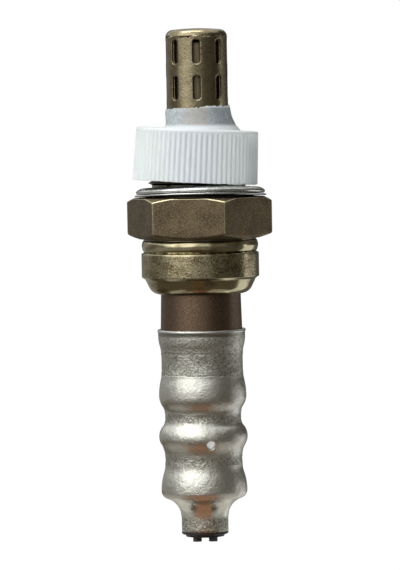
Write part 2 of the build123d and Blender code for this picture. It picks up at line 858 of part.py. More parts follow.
def split_ring(angle, inner_radius, wall, top, bottom):
    """Make a thin ring with a slit on the side away from its strip."""
    turn_ring(inner_radius + wall, inner_radius, top, bottom)
    with BuildSketch(axial_plane(angle + 180)) as slit:
        with Locations((inner_radius, (top + bottom) / 2)):
            Rectangle(inner_radius, 2 * (top - bottom))
    extrude(slit.sketch, amount=contact_slit / 2, both=True, mode=Mode.SUBTRACT)


with BuildPart() as signal_terminal:
    contact_bottom = thimble_end - contact_overhang
    split_ring(
        lead_angles[0], contact_radius, contact_wall, contact_bottom + contact_length, contact_bottom
    )
    strip_and_barrel(lead_angles[0], (strip_line, thimble_end - contact_overhang / 4))

with BuildPart() as ground_terminal:
    ring_bottom = thimble_end + slip_gap
    ring_line = ground_ring_radius + ground_ring_wall / 2
    split_ring(
        lead_angles[1], ground_ring_radius, ground_ring_wall, ring_bottom + ground_ring_height, ring_bottom
    )
    strip_and_barrel(
        lead_angles[1],
        (ring_line, ring_bottom + ground_ring_height / 2),
        (ring_line, ring_bottom - ground_strip_drop),
        (strip_line, separator_top + strip_width),
    )

heater_terminals = []
for angle in lead_angles[2:]:
    with BuildPart() as heater_terminal:
        strip_and_barrel(angle, (strip_line, heater_end + heater_pad_length))
    heater_terminals.append(heater_terminal.part)

lead_insulations = []
lead_strands = []
for angle in lead_angles:
    with BuildPart() as insulation:
        with BuildSketch(Plane.XY.offset(lead_end)):
            with PolarLocations(lead_circle, 1, start_angle=angle):
                Circle(insulation_diameter / 2)
                Circle(strand_diameter / 2 + press_gap, mode=Mode.SUBTRACT)
        extrude(amount=grommet_top + insulation_entry - lead_end)
    lead_insulations.append(insulation.part)
    with BuildPart() as strand:
        strand_end = barrel_top - barrel_plug
        extrude(lead_round(angle, strand_diameter / 2, lead_end), amount=strand_end - lead_end)
    lead_strands.append(strand.part)


# Every piece by the name that it is kept under

pieces = {
    "outer_protector": outer_protector.part,
    "inner_protector": inner_protector.part,
    "ceramic_element": ceramic_element.part,
    "heater_rod": heater_rod.part,
    "hex_shell": hex_shell.part,
    "gasket": gasket.part,
    "thread_cap": thread_cap.part,
    "seat_washer": seat_washer.part,
    "talc_seal": talc_seal.part,
    "insulator_sleeve": insulator_sleeve.part,
    "crimp_ring": crimp_ring.part,
    "inner_sleeve": inner_sleeve.part,
    "outer_sleeve": outer_sleeve.part,
    "filter": filter_tube.part,
    "grommet": grommet.part,
    "terminal_separator": terminal_separator.part,
    "separator_retainer": separator_retainer.part,
    "signal_terminal": signal_terminal.part,
    "ground_terminal": ground_terminal.part,
    "heater_terminal_a": heater_terminals[0],
    "heater_terminal_b": heater_terminals[1],
}
lead_names = ("signal_{}", "ground_{}", "heater_{}_a", "heater_{}_b")
for lead_name, insulation, strand in zip(lead_names, lead_insulations, lead_strands):
    pieces[lead_name.format("lead")] = insulation
    pieces[lead_name.format("core")] = strand

os.makedirs("parts", exist_ok=True)
for name, part in pieces.items():
    part.label = name
    export_step(part, f"parts/{name}.step")
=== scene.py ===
from bisect import bisect_left
from collections import namedtuple
from math import atan2, cos, pi, radians, sin, sqrt, tan

import bmesh
import bpy
from bpy.props import FloatProperty, FloatVectorProperty, IntProperty, PointerProperty
from mathutils import Matrix, Vector, noise


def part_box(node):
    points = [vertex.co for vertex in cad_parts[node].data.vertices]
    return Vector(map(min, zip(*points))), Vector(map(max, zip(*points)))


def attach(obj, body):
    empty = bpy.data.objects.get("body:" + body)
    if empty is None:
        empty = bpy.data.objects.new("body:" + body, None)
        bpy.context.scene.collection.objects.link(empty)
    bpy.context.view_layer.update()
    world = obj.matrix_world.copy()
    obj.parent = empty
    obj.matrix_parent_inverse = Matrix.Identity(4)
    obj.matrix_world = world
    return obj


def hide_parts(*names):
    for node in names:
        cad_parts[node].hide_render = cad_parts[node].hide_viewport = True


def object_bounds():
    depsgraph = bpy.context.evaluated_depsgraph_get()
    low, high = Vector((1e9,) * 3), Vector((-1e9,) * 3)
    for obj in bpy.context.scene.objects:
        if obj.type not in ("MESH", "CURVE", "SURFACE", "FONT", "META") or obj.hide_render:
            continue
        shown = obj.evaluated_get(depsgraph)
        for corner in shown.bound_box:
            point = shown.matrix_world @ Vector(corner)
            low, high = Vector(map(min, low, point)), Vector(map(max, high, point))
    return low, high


bl_info = {
    "name": "Oxygen sensor",
    "version": (1, 0, 0),
    "blender": (4, 5, 0),
    "location": "View3D > Sidebar > Oxygen sensor",
    "description": "Dresses the packed oxygen sensor: detailed shells, procedural finishes and a studio",
    "category": "Object",
}

# The packed model is the frame that every piece is set in. Its origin is on the axis, at the
# hexagon's seating face, and +Z runs to the sensing tip.
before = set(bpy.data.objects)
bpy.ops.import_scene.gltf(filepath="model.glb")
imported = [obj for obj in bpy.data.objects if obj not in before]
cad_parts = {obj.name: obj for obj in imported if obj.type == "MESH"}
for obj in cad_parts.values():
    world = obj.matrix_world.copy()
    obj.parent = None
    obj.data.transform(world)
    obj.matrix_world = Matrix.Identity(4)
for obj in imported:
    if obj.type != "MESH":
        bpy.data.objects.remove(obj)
cad_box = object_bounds()

MM = 0.001
ARC_STEPS = 5
# Turns about the axis of the side that the photograph shows, and of that side's right
FACING = radians(-80.5)
SIDEWAYS = FACING + pi / 2
# Bevel at the thread's end
THREAD_BEVEL = 0.8 * MM
# Heights under the hexagon: the bead's foot, and the band's top and foot
BEAD_FOOT = -9.15 * MM
BAND_TOP = -9.5 * MM
BAND_FOOT = -13.55 * MM


# Sizes and colours that a user may change


def length(label, meaning, millimetres):
    """Length property, given in millimetres and kept in metres."""
    return FloatProperty(
        name=label, description=meaning, default=millimetres * MM, unit="LENGTH", precision=5
    )


def linear(red, green, blue):
    """Shader colour for a screen colour given from 0 to 255."""
    shares = [channel / 255 for channel in (red, green, blue)]
    return [share / 12.92 if share <= 0.04045 else ((share + 0.055) / 1.055) ** 2.4 for share in shares]


def colour(label, meaning, red, green, blue):
    """Colour property, given as a screen colour."""
    return FloatVectorProperty(
        name=label, description=meaning, default=linear(red, green, blue), subtype="COLOR", min=0.0, max=1.0
    )


class ProtectorSizes(bpy.types.PropertyGroup):
    """Sizes of the slotted outer tube."""

    radius: length("Tube radius", "Outer radius of the slotted tube", 5.25)
    wall: length("Tube wall", "Thickness of the drawn sheet", 0.4)
    corner: length("End corner", "Radius of the bend at the tube's closed end", 1.25)
    crown_radius: length("Crown radius", "Radius of the slightly domed end", 39.52)
    slot_length: length("Slot length", "Overall length of a slot", 4.2)
    slot_width: length("Slot width", "Width of a slot", 1.2)
    slot_drop: length("Slot drop", "Depth of the upper row's middle below the tip", 4.0)
    slot_pitch: length("Slot row pitch", "Distance between the two rows", 6.1)
    slot_edge: length("Slot edge", "Round on the slot's edges", 0.1)
    slots: IntProperty(name="Slots in a row", description="Slots round the tube", default=8, min=3)


class ShellSizes(bpy.types.PropertyGroup):
    """Sizes of the turned body with its hexagon and thread."""

    across_flats: length("Across flats", "Width over two flats of the hexagon", 21.8)
    hex_height: length("Hexagon height", "Height of the hexagon", 7.0)
    corner_radius: length("Hexagon corner", "Round on the hexagon's upright edges", 0.3)
    top_land: length("Top land", "Radius of the flat face over the hexagon's bevel", 11.1)
    under_land: length("Under land", "Radius of the flat face under the hexagon's bevel", 10.3)
    edge_break: length("Edge break", "Least bevel over a flat", 0.2)
    thread_radius: length("Thread radius", "Outer radius of the thread", 9.0)
    thread_length: length("Thread length", "Height of the thread's end over the seat", 10.2)
    thread_pitch: length("Thread pitch", "Rise of the thread in one turn", 1.5)
    relief_radius: length("Relief radius", "Radius of the groove under the thread", 8.0)
    relief_width: length("Relief width", "Height of the groove under the thread", 2.2)


class CapSizes(bpy.types.PropertyGroup):
    """Sizes of the transit cap."""

    tilt: FloatProperty(name="Tilt", description="Lean to one side", default=radians(3.4), subtype="ANGLE")
    height: length("Skirt height", "Height of the ribbed skirt", 9.05)
    shelf: length("Shelf", "Thickness of the cap's top", 0.9)
    top_radius: length("Top radius", "Radius of the skirt at its top", 10.43)
    mouth_radius: length("Mouth radius", "Radius of the skirt at its mouth", 10.67)
    edge_round: length("Top edge round", "Round on the top edge", 0.45)
    rib_depth: length("Rib depth", "Depth of the furrows between ribs", 0.25)
    rib_drop: length("Rib drop", "Height of the smooth band over the ribs", 0.55)
    collar_wall: length("Collar wall", "Thickness of the collar", 0.16)
    ribs: IntProperty(name="Ribs", description="Ribs round the skirt", default=72, min=12)


class SleeveSizes(bpy.types.PropertyGroup):
    """Sizes of the crimped outer sleeve."""

    wall: length("Sleeve wall", "Thickness of the sheet", 0.42)
    jaw_ridge: length("Jaw ridge", "Metal left proud between two jaws", 0.05)
    jaw_reach: length("Jaw reach", "Height over which a jaw's edge flares out", 1.2)
    breather_radius: length("Breather radius", "Radius of a breather hole", 0.8)
    breather_drop: length("Breather drop", "Depth of the holes under the middle bulge", 1.1)
    jaws: IntProperty(name="Jaws", description="Jaws of the crimping tool", default=8, min=3)


class FinishColours(bpy.types.PropertyGroup):
    """Colours of the surfaces."""

    tube: colour("Tube", "Drawn steel of the slotted tube", 154, 144, 117)
    tube_dark: colour("Tube, darker", "Patches and streaks on the tube", 102, 91, 70)
    inner_tube: colour("Inner tube", "Steel seen through the slots", 138, 127, 104)
    hexagon: colour("Hexagon", "Pressed faces of the hexagon", 116, 102, 79)
    hexagon_dark: colour("Hexagon, darker", "Mottling on the hexagon", 78, 67, 53)
    # Also painted on the hexagon's upward-facing edges as a highlight
    turned: colour("Turned steel", "Turned bead, band and lip", 188, 180, 148)
    turned_dark: colour("Turned steel, darker", "Grooves and stains of the turned body", 98, 80, 54)
    thread: colour("Thread", "Greasy steel of the thread", 104, 106, 95)
    # Near black painted as shadow: behind the gasket, on the hexagon's top land, under the hexagon and in the
    # groove under the bead
    groove: colour("Relief", "Dark groove behind the gasket", 30, 27, 22)
    # Also painted on the outer sleeve's rim as a highlight
    gasket: colour("Gasket", "Folded steel ring", 206, 207, 203)
    # Painted shade for the gasket's upward faces
    gasket_top_shade: colour("Gasket, duller", "Top ply of the gasket", 190, 192, 190)
    sleeve: colour("Outer sleeve", "Pale steel of the crimped sleeve", 213, 213, 204)
    sleeve_rough: colour("Outer sleeve, duller", "Grain of the pale steel", 178, 177, 168)
    # Also painted as the shadow band under the outer sleeve's rim
    sleeve_dark: colour("Outer sleeve, worn", "Roughened area and the jaws' marks", 134, 133, 121)
    # Painted warm reflection for the lower side of the bulges
    sleeve_warm_reflection: colour("Outer sleeve, warm", "Tint on the lower side of the bulges", 176, 138, 104)
    brown_sleeve: colour("Inner sleeve", "Dark steel of the inner sleeve", 120, 101, 83)
    brown_dark: colour("Inner sleeve, darker", "Grain of the inner sleeve", 86, 71, 59)
    cap: colour("Cap", "White moulded plastic", 226, 233, 232)
    cap_tint: colour("Cap, cooler", "Bluish middle of the cap", 219, 225, 231)
    # Also painted as shade on the collar's right side and the skirt's lower right side
    collar: colour("Collar", "Thin part of the cap", 150, 156, 162)
    # Painted highlight of the tube, seen through the collar's middle
    collar_tube_highlight: colour("Collar, warm", "Tube showing through the collar", 176, 162, 142)
    rubber: colour("Rubber", "Grommet in the neck", 26, 25, 25)
    insulation: colour("Insulation", "Sleeving of the leads", 22, 22, 23)
    strands: colour("Strands", "Copper of the leads", 196, 128, 88)
    ceramic: colour("Ceramic", "Insulators and heater", 232, 228, 216)


# Outlines


def span(start, end, steps):
    """Even steps from start to end, both included."""
    return [start + (end - start) * step / steps for step in range(steps + 1)]


def ease(low, high, value):
    """Smooth change from 0 at low to 1 at high."""
    share = min(max((value - low) / (high - low), 0.0), 1.0)
    return share * share * (3 - 2 * share)


def soft_least(first, second, softness):
    """The lesser of two lengths, rounded where they cross."""
    gap = min(max(0.5 + 0.5 * (second - first) / softness, 0.0), 1.0)
    return second * (1 - gap) + first * gap - softness * gap * (1 - gap)


def polar(radius, angle, height):
    """Point at a radius, angle and height."""
    return Vector((radius * cos(angle), radius * sin(angle), height))


def arc(centre, radius, start, end, steps=ARC_STEPS):
    """Points along an arc, from one angle to another in degrees."""
    return [
        (centre[0] + radius * cos(radians(angle)), centre[1] + radius * sin(radians(angle)))
        for angle in span(start, end, steps)
    ]


def rounded(*corners):
    """Points along straight runs between corners, each (radius, height, round)."""
    points = []
    for index, (radius, height, size) in enumerate(corners):
        here = Vector((radius, height))
        if size == 0:
            points.append(here)
            continue
        before = Vector(corners[index - 1][:2]) - here
        after = Vector(corners[index + 1][:2]) - here
        setback = min(size / tan(before.angle(after) / 2), 0.45 * before.length, 0.45 * after.length)
        start = here + before.normalized() * setback
        end = here + after.normalized() * setback
        for share in span(0, 1, ARC_STEPS):
            points.append(start * (1 - share) ** 2 + here * 2 * share * (1 - share) + end * share ** 2)
    return points


def s_bend(start, end, first_share, steps=12):
    """Points on two arcs that leave start straight down and reach end straight down."""
    shift = end[0] - start[0]
    drop = start[1] - end[1]
    turn = 2 * atan2(abs(shift), drop)
    outwards = 1 if shift > 0 else -1
    first = drop / sin(turn) * first_share
    second = drop / sin(turn) - first
    points = []
    for angle in span(0, turn, steps)[1:]:
        points.append((start[0] + outwards * first * (1 - cos(angle)), start[1] - first * sin(angle)))
    for angle in span(turn, 0, steps)[1:]:
        points.append((end[0] - outwards * second * (1 - cos(angle)), end[1] + second * sin(angle)))
    return points


class Wall:
    """Half section of a wall as radius by height."""

    def __init__(self, points):
        self.points = sorted((height, radius) for radius, height in points)
        self.heights = [height for height, radius in self.points]

    def radius(self, height):
        """Radius at a height, on the line between the nearest points."""
        index = min(max(bisect_left(self.heights, height), 1), len(self.points) - 1)
        (low, low_radius), (high, high_radius) = self.points[index - 1 : index + 1]
        return low_radius + (high_radius - low_radius) * (height - low) / (high - low)


def smooth_curve(stations, values, at):
    """Smooth curve through the values at their stations."""
    index = min(max(bisect_left(stations, at), 1), len(stations) - 1)
    before, low, high, after = [
        values[min(max(place, 0), len(values) - 1)] for place in range(index - 2, index + 2)
    ]
    share = (at - stations[index - 1]) / (stations[index] - stations[index - 1])
    rise = (high - before) / 2
    fall = (after - low) / 2
    cubic = 2 * low - 2 * high + rise + fall
    square = 3 * high - 3 * low - 2 * rise - fall
    return low + share * (rise + share * (square + share * cubic))


# Meshes


class Skin:
    """A mesh in the making: rings of points that are joined by quads."""

    def __init__(self):
        self.form = bmesh.new()

    def ring(self, points):
        """Add one ring of points."""
        return [self.form.verts.new(point) for point in points]

    def join(self, first, second):
        """Join two rings of as many points."""
        for index in range(len(first)):
            self.form.faces.new((first[index - 1], first[index], second[index], second[index - 1]))

    def tube(self, rows, closed=False):
        """Join each ring of points to the next, and the last to the first if closed."""
        rings = [self.ring(row) for row in rows]
        for first, second in zip(rings, rings[1:]):
            self.join(first, second)
        if closed:
            self.join(rings[-1], rings[0])
        return rings

    def chain(self, *parts):
        """Join rings that are there, and rows of points between them, in their order."""
        rings = [part if isinstance(part[0], bmesh.types.BMVert) else self.ring(part) for part in parts]
        for first, second in zip(rings, rings[1:]):
            self.join(first, second)
        return rings

    def lid(self, ring, height):
        """Close a ring with a fan to the axis."""
        middle = self.form.verts.new((0, 0, height))
        for index in range(len(ring)):
            self.form.faces.new((ring[index - 1], ring[index], middle))

    def piece(self, name, material, slot, *nodes):
        """Make the mesh a shown piece that rides on the body and stands for its CAD nodes."""
        bmesh.ops.recalc_face_normals(self.form, faces=self.form.faces)
        mesh = bpy.data.meshes.new(name)
        self.form.to_mesh(mesh)
        self.form.free()
        mesh.shade_smooth()
        mesh.materials.append(material)
        made = bpy.data.objects.new(name, mesh)
        bpy.context.scene.collection.objects.link(made)
        made.modifiers.new("even_shading", "WEIGHTED_NORMAL")
        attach(made, "root")
        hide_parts(*nodes)
        return made


Opening = namedtuple("Opening", "column row columns rows angle level half_run radius end_turn")


def hole_point(opening, side, share, outset):
    """Point on an opening's outline, from its middle: side 0 is its lower end, then counterclockwise."""
    reach = opening.radius + outset
    if side % 2:
        angle = (pi / 2 - opening.end_turn) * (2 * share - 1)
        point = (reach * cos(angle), reach * sin(angle) + opening.half_run * (2 * share - 1))
    else:
        angle = opening.end_turn * (2 * share - 1) - pi / 2
        point = (reach * cos(angle), reach * sin(angle) - opening.half_run)
    return point if side < 2 else (-point[0], -point[1])


def cell_border(opening):
    """Grid places round an opening's cell, each (side, share, column, row)."""
    right = opening.column + opening.columns
    top = opening.row + opening.rows
    for step in range(opening.columns):
        yield 0, step / opening.columns, opening.column + step, opening.row
    for step in range(opening.rows):
        yield 1, step / opening.rows, right, opening.row + step
    for step in range(opening.columns):
        yield 2, step / opening.columns, right - step, top
    for step in range(opening.rows):
        yield 3, step / opening.rows, opening.column, top - step


def pierced_wall(skin, start, count, levels, place, wall, openings, edge):
    """Build both sides of a wall on a grid of angles and levels, with rimmed openings through it."""
    angles = [start + 2 * pi * column / count for column in range(count)]
    sides = []
    for depth in (0, wall):
        sides.append([skin.ring([place(angle, level, depth) for angle in angles]) for level in levels])
    pierced = set()
    for opening in openings:
        for row in range(opening.rows):
            for column in range(opening.columns):
                pierced.add((opening.row + row, (opening.column + column) % count))
    for grid in sides:
        for row in range(len(levels) - 1):
            for column in range(count):
                after = (column + 1) % count
                if (row, column) not in pierced:
                    skin.form.faces.new(
                        (grid[row][column], grid[row][after], grid[row + 1][after], grid[row + 1][column])
                    )

    def between(opening, share, outset, depth):
        """Ring a share of the way from the border of an opening's cell to its outline."""
        ring = []
        reach = place(opening.angle, opening.level, 0).xy.length
        for side, along, column, row in cell_border(opening):
            x, y = hole_point(opening, side, along, outset)
            angle = start + 2 * pi * column / count
            ring.append(
                place(
                    angle + (opening.angle + x / reach - angle) * share,
                    levels[row] + (opening.level + y - levels[row]) * share,
                    depth,
                )
            )
        return ring

    fillet = arc((edge, edge), edge, 270, 180, 3)
    approach = (0.3, 0.6, 0.85)
    for opening in openings:
        border = [(row, column % count) for side, along, column, row in cell_border(opening)]
        rings = [[sides[0][row][column] for row, column in border]]
        rings += [between(opening, share, edge, 0) for share in approach]
        rings += [between(opening, 1, edge - x, y) for x, y in fillet]
        rings += [between(opening, 1, edge - x, wall - y) for x, y in reversed(fillet)]
        rings += [between(opening, share, edge, wall) for share in reversed(approach)]
        rings.append([sides[1][row][column] for row, column in border])
        skin.chain(*rings)
    return sides


# Shader trees


class Value:
    """One output of a shader tree. Arithmetic on it adds the Math nodes that it needs."""

    def __init__(self, shaders, output):
        self.shaders = shaders
        self.output = output

    def __add__(self, other):
        return self.shaders.maths("ADD", self, other)

    def __radd__(self, other):
        return self.shaders.maths("ADD", other, self)

    def __sub__(self, other):
        return self.shaders.maths("SUBTRACT", self, other)

    def __rsub__(self, other):
        return self.shaders.maths("SUBTRACT", other, self)

    def __mul__(self, other):
        return self.shaders.maths("MULTIPLY", self, other)

    def __rmul__(self, other):
        return self.shaders.maths("MULTIPLY", other, self)


class Shaders:
    """A tree of shader nodes."""

    def __init__(self, tree):
        self.tree = tree

    def node(self, kind, settings, sockets, output=0):
        """Add a node: its settings come first, then the values or links of its sockets."""
        made = self.tree.nodes.new("ShaderNode" + kind)
        for label, setting in settings.items():
            setattr(made, label, setting)
        for label, value in sockets.items():
            if isinstance(value, Value):
                self.tree.links.new(value.output, made.inputs[label])
            else:
                made.inputs[label].default_value = value
        return Value(self, made.outputs[output])

    def maths(self, operation, first, second=0.0):
        """Add one Math node."""
        return self.node("Math", {"operation": operation}, {0: first, 1: second})

    def surface(self, output_node, seen, plain, shown):
        """Show one shader for the rays that are seen, and the plain one for the rest."""
        blend = self.node("MixShader", {}, {0: seen, 1: plain, 2: shown})
        self.tree.links.new(blend.output, self.tree.nodes[output_node].inputs["Surface"])


class Finish(Shaders):
    """A procedural material: constants on its shader's sockets, and nodes for what varies."""

    def __init__(self, name, constants):
        self.material = bpy.data.materials.new(name)
        self.material.use_nodes = True
        super().__init__(self.material.node_tree)
        self.shader = self.tree.nodes["Principled BSDF"]
        for label, value in constants.items():
            self.shader.inputs[label].default_value = value
        self.place = self.node("TexCoord", {}, {}, "Object")

    def scaled(self, x, y, z):
        """Object coordinates, stretched along the axes."""
        return self.node("VectorMath", {"operation": "MULTIPLY"}, {0: self.place, 1: (x, y, z)})

    def noise(self, size, detail=3.0, stretch=(1, 1, 1), distortion=0.0):
        """Noise whose grains are about size across, in metres."""
        place = self.place if stretch == (1, 1, 1) else self.scaled(*stretch)
        return self.node(
            "TexNoise", {}, {"Vector": place, "Scale": 1 / size, "Detail": detail, "Distortion": distortion}
        )

    def spread(self, value, low, high):
        """Smooth change from 0 at low to 1 at high."""
        return self.node(
            "MapRange",
            {"interpolation_type": "SMOOTHSTEP"},
            {"Value": value, "From Min": low, "From Max": high, "To Min": 0.0, "To Max": 1.0},
        )

    def imprint(self, height, top, foot):
        """1 between two heights, with a crisp step at the foot and a softer one at the top."""
        inside = self.spread(height, foot - 0.06 * MM, foot + 0.06 * MM)
        return inside * (1 - self.spread(height, top - 0.1 * MM, top + 0.1 * MM))

    def axis(self, name):
        """One of the object coordinates."""
        return self.node("SeparateXYZ", {}, {"Vector": self.place}, name)

    def facing_up(self):
        """Upward part of the surface's own direction."""
        normal = self.node("NewGeometry", {}, {}, "Normal")
        return self.node("SeparateXYZ", {}, {"Vector": normal}, "Z")

    def mix(self, factor, first, second):
        """Mix two colours."""
        colours = {0: factor, 6: first, 7: second}
        for socket in (6, 7):
            if not isinstance(colours[socket], Value):
                colours[socket] = (*colours[socket], 1.0)
        return self.node("Mix", {"data_type": "RGBA"}, colours, 2)

    def feed(self, label, value):
        """Link a value to the shader."""
        self.tree.links.new(value.output, self.shader.inputs[label])

    def bump(self, depth, height):
        """Raise the surface by up to depth, in metres, where the height value is 1."""
        self.feed("Normal", self.node("Bump", {}, {"Strength": 1.0, "Distance": depth, "Height": height}))


def tube_finish(colours):
    """Satin drawn steel, browned by heat, with fine draw lines."""
    finish = Finish("tube_steel", {"Metallic": 1.0})
    patches = finish.spread(finish.noise(2.2 * MM, 4.0), 0.35, 0.68)
    draw = finish.noise(0.16 * MM, 2.0, (1, 1, 0.05))
    grain = finish.noise(0.22 * MM, 3.0)
    stain = finish.spread(finish.noise(0.7 * MM, 3.0), 0.5, 0.75)
    dark = patches * 0.4 + stain * 0.3 + finish.spread(grain, 0.3, 0.7) * 0.4
    finish.feed("Base Color", finish.mix(dark, colours.tube, colours.tube_dark))
    finish.feed("Roughness", 0.19 + patches * 0.05 + grain * 0.1)
    sand = finish.noise(0.38 * MM, 2.0)
    finish.bump(0.024 * MM, draw * 0.25 + grain * 0.75 + sand * 0.7)
    return finish.material


def inner_tube_finish(colours):
    """Darker drawn steel inside the slotted tube."""
    finish = Finish("inner_tube_steel", {"Metallic": 1.0})
    patches = finish.noise(2.0 * MM, 3.0)
    grain = finish.noise(0.2 * MM, 2.0)
    finish.feed("Base Color", finish.mix(patches, colours.inner_tube, colours.tube_dark))
    finish.feed("Roughness", 0.45 + grain * 0.15)
    finish.bump(0.01 * MM, grain)
    return finish.material


def shell_finish(colours, sizes):
    """Steel body: mottled pressed hexagon, finely turned bead, band, lip and thread; painted highlights on
    the hexagon's upward-facing edges, painted shadow behind the gasket and in the grooves.
    """
    finish = Finish("shell_steel", {"Metallic": 1.0})
    height = finish.axis("Z")
    above_bead = finish.spread(height, -sizes.hex_height - 0.15 * MM, -sizes.hex_height + 0.05 * MM)
    below_seat = 1 - finish.spread(height, -0.02 * MM, 0.05 * MM)
    hexagon = above_bead * below_seat
    thread = finish.spread(height, 0.05 * MM, 0.3 * MM)
    # The relief behind the gasket, which takes the near-black colour as painted shadow
    groove = thread * (1 - finish.spread(height, 1.1 * MM, 1.5 * MM))
    band = finish.spread(height, BAND_FOOT, BAND_FOOT + 0.15 * MM)
    band = band * (1 - finish.spread(height, BAND_TOP - 0.35 * MM, BAND_TOP - 0.2 * MM))
    up = finish.facing_up()
    # Painted highlight: the hexagon's upward-facing edges are lightened towards the turned colour and made
    # smoother
    upper_edge_highlight = finish.spread(up, 0.12, 0.3) * (1 - finish.spread(up, 0.75, 0.88))
    turn = finish.maths("ARCTAN2", finish.axis("Y"), finish.axis("X")) * (3 / pi)
    corner = 1 - finish.spread(finish.maths("PINGPONG", turn, 0.5), 0.008, 0.022)
    cloud = finish.spread(finish.noise(3.4 * MM, 3.0), 0.35, 0.65)
    grain = finish.noise(0.24 * MM, 3.0)
    flecks = finish.spread(finish.noise(0.26 * MM, 2.0), 0.48, 0.8)
    # The hexagon's top land under the gasket's lip, which takes the near-black colour as painted shadow
    land = hexagon * finish.spread(up, 0.9, 0.97)
    # Lighter marks: the flecks and corners are wear, the upward-facing edges a painted highlight
    worn = hexagon * (upper_edge_highlight * 0.9 + corner * 0.3) + hexagon * flecks * 0.35
    mottle = cloud * 0.45 + finish.spread(grain, 0.3, 0.7) * 0.45
    pressed = finish.mix(mottle, colours.hexagon, colours.hexagon_dark)
    pressed = finish.mix(worn, pressed, colours.turned)
    rings = finish.noise(0.14 * MM, 2.0, (0.03, 0.03, 1))
    tarnish = finish.spread(finish.noise(2.6 * MM, 3.0, (1, 1, 2)), 0.42, 0.72)
    stain = tarnish * (0.6 - band * 0.25) + finish.spread(grain, 0.35, 0.65) * 0.65 * band + rings * 0.15
    turned_steel = finish.mix(stain, colours.turned, colours.turned_dark)
    # Painted shadow in patches along the groove under the bead, and in a line under the hexagon
    broken = finish.spread(finish.noise(0.9 * MM, 3.0), 0.42, 0.6)
    crevice_shadow = finish.imprint(height, BEAD_FOOT, BEAD_FOOT - 0.27 * MM) * broken
    crevice_shadow = crevice_shadow + finish.imprint(height, 0.1 * MM - sizes.hex_height, -0.35 * MM - sizes.hex_height)
    turned_steel = finish.mix(crevice_shadow * 0.75, turned_steel, colours.groove)
    turned_steel = finish.mix(thread * 0.8, turned_steel, colours.thread)
    shade = finish.mix(hexagon, turned_steel, pressed)
    # Painted shadow: the relief and the top land go near black, less metallic and rougher
    finish.feed("Base Color", finish.mix(groove + land, shade, colours.groove))
    finish.feed("Metallic", 1 - (groove + land) * 0.9)
    plain = hexagon * (1 - upper_edge_highlight) * (1 - corner * 0.5)
    rough = 0.14 + rings * 0.05 + tarnish * 0.03 + plain * (0.24 + grain * 0.14) + (groove + land) * 0.5
    finish.feed("Roughness", rough + band * (0.05 + grain * 0.08))
    fine = 1 - plain - band * 0.9
    sand = finish.noise(0.36 * MM, 2.0)
    finish.bump(0.022 * MM, fine * rings * 0.08 + plain * grain + band * (sand * 1.1 + grain * 0.3))
    return finish.material


def gasket_finish(colours):
    """Folded steel strip with random grimy patches; its upward faces are painted darker as shade, which
    leaves its lip and fold brighter.
    """
    finish = Finish("gasket_steel", {"Metallic": 1.0})
    patches = finish.noise(1.5 * MM, 4.0)
    fine = finish.noise(0.2 * MM, 2.0)
    grime = finish.spread(patches, 0.5, 0.7)
    # Painted shade: the upward faces are darkened
    top = finish.spread(finish.facing_up(), 0.3, 0.75)
    steel = finish.mix(top, colours.gasket, colours.gasket_top_shade)
    finish.feed("Base Color", finish.mix(grime * 0.4, steel, colours.hexagon_dark))
    finish.feed("Roughness", 0.24 + grime * 0.12 + fine * 0.06)
    finish.bump(0.003 * MM, fine)
    return finish.material


def cap_finish(colours, collar_level):
    """Milky moulded plastic that thins to a greyer, half clear collar, with painted shade on the right and
    the tube's highlight painted into the collar's middle.
    """
    finish = Finish(
        "cap_plastic",
        {
            "Subsurface Weight": 0.08,
            "Subsurface Radius": (1.0, 1.0, 1.0),
            "Subsurface Scale": 0.4 * MM,
            "IOR": 1.5,
        },
    )
    height = finish.axis("Z")
    thin = finish.spread(height, collar_level + 0.2 * MM, collar_level + 1.0 * MM)
    edge = finish.spread(height, collar_level + 3.45 * MM, collar_level + 3.7 * MM)
    cloud = finish.noise(1.4 * MM, 4.0)
    milky = finish.spread(finish.noise(0.5 * MM, 4.0), 0.35, 0.7)
    specks = finish.spread(finish.noise(0.35 * MM, 2.0), 0.7, 0.8)
    # Painted shade: the collar greys towards its right side, where its creases also lie
    right = finish.spread(finish.axis("X"), 0.5 * MM, 5.5 * MM)
    clear = finish.mix(milky * 0.3 + cloud * 0.3 + 0.06 - right * 0.36, colours.collar, colours.cap)
    # Painted highlight: the tube's warm highlight, as seen through the collar, in a stripe down its middle
    aside = finish.maths("ABSOLUTE", finish.axis("X") - 0.6 * MM)
    centre = 1 - finish.spread(aside, 0.8 * MM, 3.0 * MM)
    tint = 1 - finish.spread(aside + cloud * 3.0 * MM, 2.0 * MM, 8.0 * MM)
    skirt = finish.mix(tint * 0.75, colours.cap, colours.cap_tint)
    clear = finish.mix(centre * (0.1 + milky * 0.2 + cloud * 0.5), clear, colours.collar_tube_highlight)
    fold = finish.maths("ABSOLUTE", finish.noise(2.4 * MM, 1.0, (1, 1, 0.6), 0.6) - 0.5)
    crease = (1 - finish.spread(fold, 0.002, 0.01)) * thin * right
    clear = finish.mix(crease * 0.45, clear, colours.cap)
    shade = finish.mix(thin * (1 - edge * 0.8), skirt, clear)
    # Painted shade: the skirt's lower right side is greyed towards the collar colour
    dull = finish.spread(finish.axis("X"), 8.2 * MM, 10.8 * MM)
    dull = dull * (1 - finish.spread(height, collar_level - 4.5 * MM, collar_level - 1.0 * MM))
    finish.feed("Base Color", finish.mix(specks * 0.12 + dull * 0.5, shade, colours.collar))
    finish.feed("Roughness", 0.34 + cloud * 0.14)
    finish.bump(0.02 * MM, cloud * 0.5 + thin * milky * 0.5 + crease * 0.8)
    return finish.material


